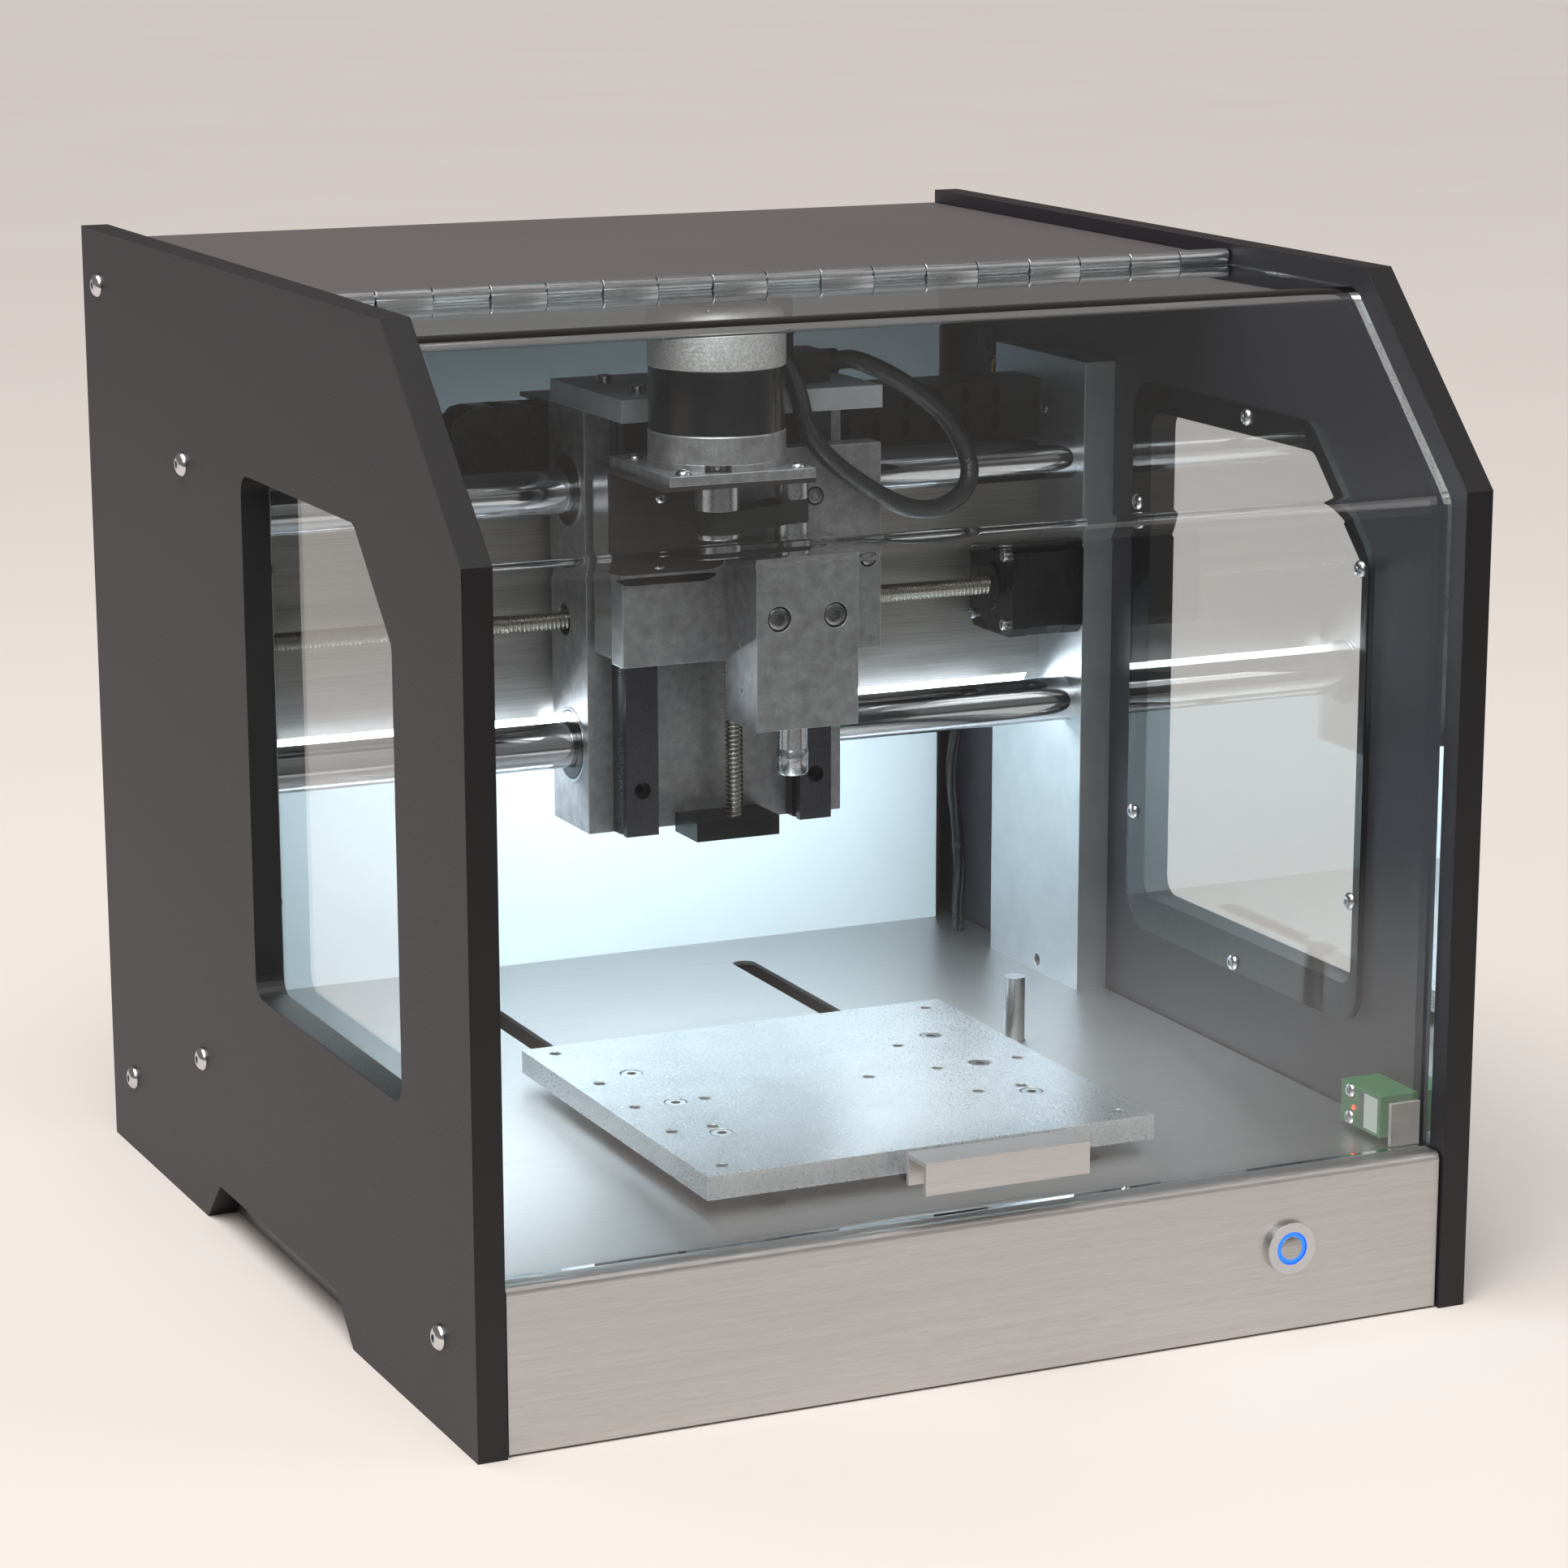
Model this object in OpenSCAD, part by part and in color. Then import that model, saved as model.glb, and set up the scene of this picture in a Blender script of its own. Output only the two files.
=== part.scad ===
// Desktop CNC router: enclosed, moving table, belt driven spindle.
// Frame: X to the right, Y to the back, Z up, origin at the bottom centre.

/* [Enclosure] */
// Overall width over both side panels
body_w = 432; // [360:1:520]
// Overall depth of the side panels
body_d = 470; // [392:1:564]
// Overall height of the side panels
body_h = 417; // [348:1:500]
// Thickness of a side panel
side_t = 12; // [9:1:15]
// Size of the 45 degree corner at the top front of a side panel
front_slope = 80; // [60:1:96]
// Height of the arch between the feet
foot_h = 19; // [14:1:24]
// Length of a foot along the floor
foot_len = 139.5; // [115:0.5:168]
// Step from the panel tops down to the top panel
top_step = 6; // [4:1:9]
// Thickness of the top panel
top_t = 6; // [5:1:8]
// Distance from the front edge to the lid hinge
hinge_back = 190.5; // [175:0.5:200]
// Thickness of the rear panel
rear_t = 3; // [2:0.5:4]
// Inset of the rear panel from the back edge
rear_inset = 3; // [3:0.5:5]

/* [Base] */
// Height of the deck above the floor
deck_z = 66.4; // [62:0.2:78]
// Thickness of the deck sheet
sheet_t = 2; // [1.5:0.5:2.5]
// Thickness of the base plate
plate_t = 6; // [5:1:8]
// Width of a slot in the deck
slot_w = 11; // [10:0.5:14]
// Diameter of the hole for the power button
button_hole = 19; // [16:0.5:22]

/* [Lid] */
// Thickness of the clear lid sheet
lid_t = 5; // [4:0.5:6]
// Size of the 45 degree slope of the lid
lid_slope = 76; // [60:1:88]
// Outer bend radius of the lid
lid_bend = 14; // [10:1:20]
// Inset of the lid from the front edge of the side panels
lid_inset = 9.5; // [8:0.5:12]
// Length of the lid handle
handle_w = 71; // [55:1:90]
// Depth of the lid handle
handle_d = 17; // [14:0.5:20]

/* [Gantry] */
// Diameter of a guide shaft
shaft_d = 20; // [16:1:20]
// Distance between the two guide shafts
shaft_gap = 109.5; // [105:0.5:116]
// Position of the shafts behind the middle of the side panels
shaft_back = 70; // [66:1:74]
// Thickness of an upright
upright_t = 15; // [12:1:18]
// Depth of an upright
upright_d = 87; // [76:1:100]
// Outer diameter of a linear bearing
bearing_d = 32; // [30:1:34]
// Diameter of the three leadscrews
screw_d = 8; // [6:0.5:10]
// Radial running clearance of shafts and screws
run_gap = 0.06; // [0.02:0.01:0.1]

/* [Carriage and slide] */
// Width of the carriage and of the slide plate
carriage_w = 120; // [112:1:130]
// Depth of the carriage block
carriage_d = 40; // [38:1:44]
// Carriage block above the upper guide shaft
carriage_over = 36.5; // [33:0.5:44]
// Width and height of a linear rail
rail_s = 15; // [12:1:15]
// Thickness of the slide plate
slide_t = 12; // [10:1:14]
// Height of the slide plate
slide_h = 87; // [82:1:96]

/* [Spindle] */
// Width of the spindle block
spindle_w = 47; // [42:1:52]
// Depth of the spindle block
spindle_d = 32.5; // [30:0.5:36]
// Height of the spindle block
spindle_h = 76; // [66:1:80]
// Diameter of the spindle shaft in its block
quill_d = 16; // [14:0.5:20]
// Diameter of the tool shank that the collet holds
tool_d = 3.2; // [3:0.1:6.4]
// Diameter of the spindle motor
motor_d = 57.2; // [50:0.2:58]

/* [Table] */
// Width and depth of the work table
table_s = 198; // [165:1:238]
// Thickness of the work table
table_t = 10; // [8:1:14]
// Pitch of the corner holes, along X and along Y
corner_pitch = 176; // [150:1:186]
// Diameter of a threaded hole in the table
tap_d = 5; // [4:0.1:6]
// Distance between the two table risers
riser_pitch = 140; // [132:1:144]

/* [Hidden] */
$fn = 64;
eps = 0.01;
gap = 0.7;                        // side gap of the lid and the top panel
seat = 0.02;                      // radial clearance of a seated piece
screw_r = screw_d / 2;
nut_r = screw_r + run_gap;        // bore that runs on a leadscrew
m6_r = 3;                         // shank of an M6 screw
m5_r = 2.5;                       // shank of an M5 screw

// enclosure
inner_x = body_w / 2 - side_t;
mid_y = (handle_d - lid_inset) / 2; // middle of the side panels, behind the origin
front_y = mid_y - body_d / 2;
rear_y = mid_y + body_d / 2;
top_z = body_h - top_step;
rear_wall_y = rear_y - rear_inset - rear_t;
floor_gap = 1;                    // base plate above the floor
plate_z = floor_gap + plate_t;    // upper face of the base plate
pan_y = front_y + 1.7;            // front face of the pan
pan_x = inner_x - 1;
hinge_y = front_y + hinge_back;
light_t = 4;                      // lit back panel
light_y = rear_wall_y - 22;

// side windows: outline in Y and Z, open to the front edge
win_front = front_y + 75;
win_rear = mid_y + 17;
win_low = deck_z + 52.6;
win_top = body_h - 80.5;
win_slope = 40;
pane_t = 3;
pane_front = win_front - 7;
pane_rear = win_rear + 14.5;
pane_low = win_low - 16;
pane_top = win_top + 12.5;

// lid
lid_x = inner_x - gap;
lid_y = front_y + lid_inset;      // outer face of the front sheet
lid_z = top_z - 2.5;              // outer face of the top sheet
lid_low = deck_z + 1.1;
hinge_z = top_z + 0.5;
knuckle_r = 3.2;
pin_r = 1.6;
hinge_parts = 17;
knuckle_l = 2 * lid_x / hinge_parts;

// gantry
shaft_y = mid_y + shaft_back;
upper_z = body_h - 106.5;
lower_z = upper_z - shaft_gap;
drive_z = lower_z + 54;
drive_y = shaft_y + 5.5;
upright_y = shaft_y - 15;
upright_top = upper_z + 43.5;
upright_x = inner_x - upright_t;
stepper_s = 42.3;
stepper_l = 35.5;
cross_y = shaft_y + 27;
cross_t = 8;
ledge_z = upper_z + 5.5;
ledge_d = 36;

// carriage, given by its centre along X
car_x = 6;
car_y = shaft_y - carriage_d / 2;          // front face of the block
carriage_under = 36;                       // block below the lower guide shaft
car_z = lower_z - carriage_under;          // bottom of the block
car_top = upper_z + carriage_over;
carriage_h = car_top - car_z;
roof_t = 9.5;                              // carriage top plate
roof_y = car_y - 42;
roof_d = 80;
rail_x = 41;                               // rails from the carriage centre
rail_low = car_z + 0.5;
rail_len = carriage_h - 3;
truck_h = 24.2;                            // rail block, without its gap
truck_w = 34;
truck_l = 40;
slide_back = car_y - 4.3 - truck_h;        // rear face of the slide plate
slide_y = slide_back - slide_t;            // front face of the slide plate
slide_z = upper_z - 65.5;                  // bottom of the slide plate
zscrew_x = car_x + 1.5;
zscrew_y = car_y - 16;
bracket_z = car_z - 2.5;
bracket_t = 8.4;

// spindle and motor
spindle_x = car_x + 10.5;
spindle_y = slide_y - spindle_d / 2;
spindle_z = slide_z - 25.5;                // bottom of the spindle block
spindle_top = spindle_z + spindle_h;
nut_top = spindle_z - 11.5;
nut_h = 11.3;
mount_z = slide_z + 83.7;                  // top of the bracket flange
bracket_sheet = 2;
mount_t = 4;
motor_x = car_x - 30;
motor_y = slide_y - 2.5 - motor_d / 2;
motor_z = mount_z + mount_t;
motor_base_h = 14.8;
motor_mid_h = 26;
motor_cap_h = 21.8;
mount_x0 = motor_x - 33.5;
mount_y0 = motor_y - 29;
belt_w = 9;
belt_z = mount_z - 24.5;
belt_t = 1.4;
motor_seat_r = 7.6;                        // belt seat radius of each pulley
spindle_seat_r = 5.8;

// table
table_x = 0;
table_y = front_y + 154.5;
table_z = deck_z + 5.1;                    // underside of the table
saddle_z = 35;
saddle_t = 8;
saddle_l = 139;
saddle_w = riser_pitch + 44;
riser_w = 8;
yrail_z = plate_z;
yscrew_z = 28.5;
yrail_y0 = front_y + 45;
yrail_end = 60;                            // from the rear end of the Y rails to the sides' rear edge
yrail_len = rear_y - yrail_end - yrail_y0;
ymotor_y = yrail_y0 + yrail_len + 6;
slot_y0 = table_y - saddle_l / 2 - 31;
slot_y1 = yrail_y0 + yrail_len - 6;

// probe, sensor and button
probe_x = table_x + table_s / 2 + 25.2;
probe_y = mid_y - 7.4;
probe_r = 4.65;
button_x = 133;
button_z = 36;
button_y = pan_y;
bezel_r = button_hole / 2 + 1.3;

// chain
chain_w = 22;
chain_t = 12;
chain_y = cross_y + 3;
chain_floor = ledge_z + 1.5;
chain_bend_x = -79;                        // centre of the bend at rest
chain_low_end = 130;
chain_up_end = -10;
duct_x0 = 60;

// braided lead from the carriage gland to the spindle motor
lead_r = 4;
lead_gap = 0.4;                            // from the lead's end to its boss on the motor
lead_route = [
    [57, 40, 364], [66, 40, 364], [78, 37, 359], [91, 34, 351], [103, 31, 341],
    [111, 28, 329], [114, 24, 316], [108, 19, 307], [94, 13, 302], [78, 8, 303.5],
    [63, 5, 310], [50, 4, 318], [38, 3, 327], [30, 3, 336], [26, 4, 345],
    [24, 5, 354], [22, 8, 363], [18, 12, 371], [12, 12.5, 375.5], [6, 7.4, 376], [1.3, 3.4, 376]];
// wiring that runs down behind the right upright
loom_r = 3;
loom_route = [
    [179, 127.7, 322], [180, 138, 321.5], [183, 148, 316], [188, 156, 305], [191, 163, 290],
    [190, 169, 270], [189, 175, 245], [191, 180, 220], [193, 182, 195], [190, 184, 170],
    [188, 186, 145], [191, 187, 120], [192, 185, 97], [190, 182, 80], [190, 181.5, 66.7]];

// ---------- helpers ----------

// A polygon's corners rounded to radius r with n steps each.
function soft(p, r, n = 5) = [for (i = [0:len(p) - 1])
    let (a = p[(i + len(p) - 1) % len(p)], b = p[i], c = p[(i + 1) % len(p)],
         u = (a - b) / norm(a - b), v = (c - b) / norm(c - b),
         half = acos(u * v) / 2, s = b + u * r / tan(half), e = b + v * r / tan(half),
         o = b + (u + v) / norm(u + v) * r / sin(half),
         a0 = atan2(s.y - o.y, s.x - o.x), a1 = atan2(e.y - o.y, e.x - o.x),
         sweep = (a1 - a0 + 540) % 360 - 180)
    for (k = [0:n]) o + r * [cos(a0 + sweep * k / n), sin(a0 + sweep * k / n)]];

// Points of an arc about c from angle a0 to a1.
function arc(c, r, a0, a1, n = 6) =
    [for (k = [0:n]) c + r * [cos(a0 + (a1 - a0) * k / n), sin(a0 + (a1 - a0) * k / n)]];

// A child drawn in (Y, Z) and extruded along X from x0.
module along_x(x0, length) {
    translate([x0, 0, 0]) rotate([90, 0, 90]) linear_extrude(length) children();
}

// A child drawn in (X, Z) and extruded along +Y from y0.
module along_y(y0, length) {
    translate([0, y0 + length, 0]) rotate([90, 0, 0]) linear_extrude(length) children();
}

module box(low, high) {
    translate(low) cube(high - low);
}

module rod_x(p, r, length) {
    translate(p) rotate([0, 90, 0]) cylinder(r = r, h = length);
}

module rod_y(p, r, length) {
    translate(p) rotate([-90, 0, 0]) cylinder(r = r, h = length);
}

module rod_z(p, r, length) {
    translate(p) cylinder(r = r, h = length);
}

// A round tube swept along a route, with flat ends.
module swept(route, r, sides) {
    last = len(route) - 1;
    tangent = [for (i = [0:last])
        let (d = route[min(i + 1, last)] - route[max(i - 1, 0)]) d / norm(d)];
    points = [for (i = [0:last])
        let (n0 = cross(tangent[i], [0, 1, 0.01]), n1 = n0 / norm(n0), n2 = cross(tangent[i], n1))
        for (k = [0:sides - 1])
            route[i] + r * (cos(360 * k / sides) * n1 + sin(360 * k / sides) * n2)];
    walls = [for (i = [0:last - 1], k = [0:sides - 1])
        let (m = (k + 1) % sides)
        [i * sides + k, i * sides + m, (i + 1) * sides + m, (i + 1) * sides + k]];
    ends = [[for (k = [sides - 1:-1:0]) k], [for (k = [0:sides - 1]) last * sides + k]];
    polyhedron(points = points, faces = concat(walls, ends));
}

// Body of a stepper motor: square with cut corners, face at the origin, body along -Z.
module stepper_body(length) {
    h = stepper_s / 2;
    c = 4.5;
    translate([0, 0, -length]) linear_extrude(length)
        polygon([[-h + c, -h], [h - c, -h], [h, -h + c], [h, h - c],
                 [h - c, h], [-h + c, h], [-h, h - c], [-h, -h + c]]);
}

// Bores of a stepper: a blind one for the screw and four tapped face holes.
module stepper_bores(depth) {
    translate([0, 0, -depth]) cylinder(r = nut_r, h = depth + 5);
    for (x = [-1, 1], y = [-1, 1])
        translate([x * 15.5, y * 15.5, -4.5]) cylinder(r = 1.5, h = 5);
}

// A linear rail along Z with its mounting holes, back face at Y = 0, front at -rail_s.
module rail(length) {
    groove = 1.2;
    difference() {
        linear_extrude(length) polygon([
            [-rail_s / 2, 0], [-rail_s / 2, -rail_s * 0.45], [-rail_s / 2 + groove, -rail_s * 0.6],
            [-rail_s / 2, -rail_s * 0.75], [-rail_s / 2, -rail_s], [rail_s / 2, -rail_s],
            [rail_s / 2, -rail_s * 0.75], [rail_s / 2 - groove, -rail_s * 0.6],
            [rail_s / 2, -rail_s * 0.45], [rail_s / 2, 0]]);
        for (z = [20:60:length - 10]) {
            translate([0, eps, z]) rotate([90, 0, 0]) cylinder(r = 2.25, h = rail_s + 1);
            translate([0, -rail_s + 5, z]) rotate([90, 0, 0]) cylinder(r = 3.75, h = 6);
        }
    }
}

// A truck that runs on a rail, along Z, from depth d0 to d1 in front of the rail's base.
module truck(d0, d1) {
    side = 0.4;
    difference() {
        box([-truck_w / 2, -d1, 0], [truck_w / 2, -d0, truck_l]);
        box([-rail_s / 2 - side, -rail_s - side, -1], [rail_s / 2 + side, 1, truck_l + 1]);
    }
}

// A button head screw along +X: head from x = -head to 0, shank to x = length.
module button_screw_x(r, length) {
    rotate([0, 90, 0]) {
        cylinder(r = r, h = length);
        rotate_extrude() polygon([[0, -3.3], [2.6, -3.3], [4.2, -2.6], [5.2, -1.2], [5.25, 0], [0, 0]]);
    }
}

// ---------- enclosure ----------

// Places of the side panel screws in Y and Z, and how deep each goes past the panel.
panel_holes = [
    [rear_y - 24, body_h - 24], [rear_y - 33.5, 35], [front_y + 38, 38],
    [upright_y + 39.5, upright_top - 24], [upright_y + 39.5, deck_z + 5.2]];
screw_grip = 10;

module side_outline() {
    polygon([[front_y, 0], [front_y + foot_len, 0], [front_y + foot_len + foot_h, foot_h],
             [rear_y - foot_len - foot_h, foot_h], [rear_y - foot_len, 0], [rear_y, 0],
             [rear_y, body_h], [front_y + front_slope, body_h], [front_y, body_h - front_slope]]);
}

module window_opening() {
    polygon(soft([[win_front, win_low], [win_rear, win_low], [win_rear, win_top],
                  [win_front + win_slope, win_top], [win_front, win_top - win_slope]], 8));
}

module side_panel(x0) {
    color([0.29, 0.27, 0.29]) difference() {
        along_x(x0, side_t) side_outline();
        along_x(x0 - 1, side_t + 2) window_opening();
        for (h = panel_holes) rod_x([x0 - 1, h.x, h.y], m6_r + 0.2, side_t + 2);
    }
}

module left_side_panel() side_panel(-inner_x - side_t);

module right_side_panel() side_panel(inner_x);

module top_panel() {
    color([0.33, 0.31, 0.32])
        box([-lid_x, hinge_y + knuckle_r + 2.8, top_z - top_t], [lid_x, rear_y, top_z]);
}

inlet_x = -150;
inlet_z = 40;

module rear_panel() {
    color([0.3, 0.29, 0.3]) difference() {
        box([-pan_x, rear_wall_y, floor_gap + 1], [pan_x, rear_wall_y + rear_t, top_z - top_t]);
        box([inlet_x - 14, rear_wall_y - 1, inlet_z - 10.2],
            [inlet_x + 14, rear_wall_y + rear_t + 1, inlet_z + 10.2]);
        for (x = [60:12:156]) rod_y([x, rear_wall_y - 1, 110], 3, rear_t + 2);
        for (x = [66:12:150]) rod_y([x, rear_wall_y - 1, 121], 3, rear_t + 2);
    }
}

module pan_slot(x) {
    for (y = [slot_y0 + slot_w / 2, slot_y1 - slot_w / 2])
        rod_z([x, y, deck_z - 5], slot_w / 2, 10);
    box([x - slot_w / 2, slot_y0 + slot_w / 2, deck_z - 5],
        [x + slot_w / 2, slot_y1 - slot_w / 2, deck_z + 5]);
}

module base_pan() {
    bend = 3;
    color([0.78, 0.78, 0.79]) difference() {
        along_x(-pan_x, 2 * pan_x) polygon(concat(
            [[pan_y, floor_gap]],
            arc([pan_y + bend, deck_z - bend], bend, 180, 90),
            [[rear_wall_y, deck_z], [rear_wall_y, deck_z - sheet_t]],
            arc([pan_y + bend, deck_z - bend], bend - sheet_t, 90, 180),
            [[pan_y + sheet_t, floor_gap]]));
        for (s = [-1, 1]) pan_slot(s * riser_pitch / 2);
        rod_z([probe_x, probe_y, deck_z - 5], probe_r + 0.5, 10);
        rod_y([button_x, pan_y - 5, button_z], button_hole / 2, 15);
    }
}

module base_plate() {
    color([0.55, 0.56, 0.58])
        box([-pan_x, pan_y + sheet_t, floor_gap], [pan_x, rear_wall_y, plate_z]);
}

// Blocks that tie the side panels to the base plate and the top panel.
module corner_blocks() {
    size = 11;
    half = 9;
    color([0.7, 0.71, 0.73]) for (s = [-1, 1]) difference() {
        union() {
            for (h = [panel_holes[1], panel_holes[2]])
                box([min(s * inner_x, s * (inner_x - size)), h.x - half, plate_z],
                    [max(s * inner_x, s * (inner_x - size)), h.x + half, h.y + 12]);
            box([min(s * inner_x, s * (inner_x - size)), panel_holes[0].x - half, panel_holes[0].y - 9],
                [max(s * inner_x, s * (inner_x - size)), panel_holes[0].x + half, top_z - top_t]);
        }
        for (i = [0:2])
            rod_x([s * inner_x - screw_grip - 1, panel_holes[i].x, panel_holes[i].y],
                  m6_r + seat, 2 * screw_grip + 2);
    }
}

module panel_screws() {
    color([0.2, 0.2, 0.21]) for (s = [-1, 1], h = panel_holes)
        translate([s * (inner_x + side_t), h.x, h.y]) rotate([0, 0, s > 0 ? 180 : 0])
            button_screw_x(m6_r, side_t + screw_grip);
}

module lit_back_panel() {
    color([0.93, 0.97, 0.98])
        box([-inner_x + 12, light_y, deck_z], [inner_x - 12, light_y + light_t, top_z - top_t - 8]);
}

module side_windows() {
    outline = [[pane_front, pane_low], [pane_rear, pane_low], [pane_rear, pane_top],
               [pane_front + win_slope + 8, pane_top], [pane_front, pane_top - win_slope - 8]];
    color([0.85, 0.9, 0.92, 0.35]) for (x0 = [-inner_x, inner_x - pane_t])
        along_x(x0, pane_t) polygon(soft(outline, 14));
}

// ---------- lid ----------

lid_tan = lid_bend * tan(22.5);
bend_low = [lid_y + lid_bend, lid_z - lid_slope - lid_tan];
bend_high = [lid_y + lid_slope + lid_tan, lid_z - lid_bend];

module lid_section() {
    r_in = lid_bend - lid_t;
    polygon(concat(
        [[lid_y, lid_low]],
        arc(bend_low, lid_bend, 180, 135),
        arc(bend_high, lid_bend, 135, 90),
        [[hinge_y - knuckle_r - 0.6, lid_z], [hinge_y - knuckle_r - 0.6, lid_z - lid_t]],
        arc(bend_high, r_in, 90, 135),
        arc(bend_low, r_in, 135, 180),
        [[lid_y + lid_t, lid_low]]));
}

// Knuckles of one side of the hinge: first = 0 for the fixed leaf, 1 for the lid.
module knuckles(first, r) {
    side = 0.3;
    for (i = [first:2:hinge_parts - 1])
        rod_x([-lid_x + i * knuckle_l + side, hinge_y, hinge_z], r, knuckle_l - 2 * side);
}

module lid() {
    side = 0.3;
    color([0.85, 0.9, 0.92, 0.3]) difference() {
        union() {
            along_x(-lid_x, 2 * lid_x) lid_section();
            knuckles(1, knuckle_r);
            for (i = [1:2:hinge_parts - 1])
                box([-lid_x + i * knuckle_l + side, hinge_y - 9, lid_z - lid_t],
                    [-lid_x + (i + 1) * knuckle_l - side, hinge_y, hinge_z - 0.5]);
        }
        rod_x([-lid_x - 1, hinge_y, hinge_z], pin_r + run_gap, 2 * lid_x + 2);
        for (x = [-handle_w / 2 + 12, handle_w / 2 - 12])
            rod_y([handle_x + x, lid_y - 1, handle_z - 5.5], 1.6, lid_t + 2);
    }
}

// Fixed leaf under the front edge of the top panel, with its pin.
module hinge_leaf() {
    side = 0.3;
    wall_y = hinge_y + knuckle_r + 0.8;
    color([0.8, 0.82, 0.84]) {
        rod_x([-lid_x, hinge_y, hinge_z], pin_r, 2 * lid_x);
        knuckles(0, knuckle_r);
        for (i = [0:2:hinge_parts - 1])
            box([-lid_x + i * knuckle_l + side, hinge_y, hinge_z - knuckle_r],
                [-lid_x + (i + 1) * knuckle_l - side, wall_y + 1, hinge_z]);
        box([-lid_x, wall_y, top_z - top_t - 2], [lid_x, wall_y + 2, hinge_z]);
        box([-lid_x, wall_y, top_z - top_t - 2], [lid_x, wall_y + 30, top_z - top_t]);
    }
}

handle_x = 1;
handle_z = deck_z + 28.9;         // top of the handle

module lid_handle() {
    wall = 2;
    high = 13;
    x0 = handle_x - handle_w / 2;
    color([0.68, 0.64, 0.62]) difference() {
        along_x(x0, handle_w) polygon([
            [lid_y, handle_z - high], [lid_y, handle_z], [lid_y - handle_d, handle_z],
            [lid_y - handle_d, handle_z - high], [lid_y - handle_d + wall, handle_z - high],
            [lid_y - handle_d + wall, handle_z - wall], [lid_y - wall, handle_z - wall],
            [lid_y - wall, handle_z - high]]);
        for (x = [-handle_w / 2 + 12, handle_w / 2 - 12])
            rod_y([handle_x + x, lid_y - wall - 1, handle_z - 5.5], 1.6, wall + 2);
    }
}

module sensor_target() {
    color([0.6, 0.58, 0.57])
        box([inner_x - 18, lid_y + lid_t, deck_z + 1.6], [inner_x - 4.3, lid_y + lid_t + 1.8, deck_z + 19.6]);
}

// ---------- gantry frame ----------

module uprights() {
    color([0.8, 0.81, 0.83]) for (s = [-1, 1]) difference() {
        box([min(s * inner_x, s * upright_x), upright_y, deck_z],
            [max(s * inner_x, s * upright_x), upright_y + upright_d, upright_top]);
        for (z = [upper_z, lower_z])
            rod_x([s * upright_x - 10, shaft_y, z], shaft_d / 2 + seat, 20);
        for (i = [3, 4]) rod_x([s * inner_x - 20, panel_holes[i].x, panel_holes[i].y], m6_r + seat, 40);
        rod_x([s * upright_x - 7, drive_y, drive_z], 11 + seat, 14);
    }
}

// Rear beam of the gantry with the ledge that the drag chain lies on.
module cross_plate() {
    color([0.75, 0.76, 0.78]) {
        box([-upright_x, cross_y, lower_z + 5], [upright_x, cross_y + cross_t, ledge_z]);
        box([-upright_x, cross_y, ledge_z - 4], [upright_x, cross_y + ledge_d, ledge_z]);
    }
}

module guide_shafts() {
    color([0.85, 0.85, 0.87]) for (z = [upper_z, lower_z])
        rod_x([-upright_x - 10, shaft_y, z], shaft_d / 2, 2 * upright_x + 20);
}

module drive_steppers() {
    color([0.15, 0.15, 0.16]) {
        translate([upright_x - stepper_l, drive_y, drive_z]) rotate([0, -90, 0]) difference() {
            stepper_body(stepper_l);
            stepper_bores(24);
        }
        translate([table_x, ymotor_y, yscrew_z]) rotate([90, 0, 0]) difference() {
            stepper_body(34);
            stepper_bores(24);
        }
    }
}

// Ball bearing of the X screw and the pillow block of the Y screw.
module screw_bearings() {
    color([0.6, 0.61, 0.63]) {
        difference() {
            rod_x([-upright_x - 7, drive_y, drive_z], 11, 7);
            rod_x([-upright_x - 8, drive_y, drive_z], nut_r, 9);
        }
        difference() {
            box([-14, yrail_y0 - 15, plate_z], [14, yrail_y0, yscrew_z + 12]);
            rod_y([table_x, yrail_y0 - 16, yscrew_z], nut_r, 17);
        }
    }
}

// ---------- Y axis ----------

module y_rails() {
    color([0.45, 0.46, 0.48]) for (s = [-1, 1])
        translate([s * riser_pitch / 2, yrail_y0 + yrail_len, yrail_z])
            rotate([90, 0, 0]) rotate([0, 0, 180]) rail(yrail_len);
}

module y_rail_trucks() {
    color([0.55, 0.56, 0.58]) for (s = [-1, 1], e = [-1, 1])
        translate([s * riser_pitch / 2, table_y + e * 44.5 + truck_l / 2, yrail_z])
            rotate([90, 0, 0]) rotate([0, 0, 180]) truck(4.3, saddle_z - yrail_z);
}

module table_saddle() {
    y0 = table_y - saddle_l / 2;
    y1 = table_y + saddle_l / 2;
    color([0.7, 0.71, 0.73]) difference() {
        union() {
            box([-saddle_w / 2, y0, saddle_z], [saddle_w / 2, y1, saddle_z + saddle_t]);
            for (s = [-1, 1])
                box([s * riser_pitch / 2 - riser_w / 2, y0, saddle_z + 1],
                    [s * riser_pitch / 2 + riser_w / 2, y1, table_z]);
            box([-17, table_y - 15, 16], [17, table_y + 15, saddle_z + 1]);
        }
        rod_y([table_x, table_y - 20, yscrew_z], nut_r, 40);
        for (s = [-1, 1], y = [-47, 0, 47])
            rod_z([s * riser_pitch / 2, table_y + y, table_z - 14], m5_r + seat, 15);
    }
}

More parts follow.
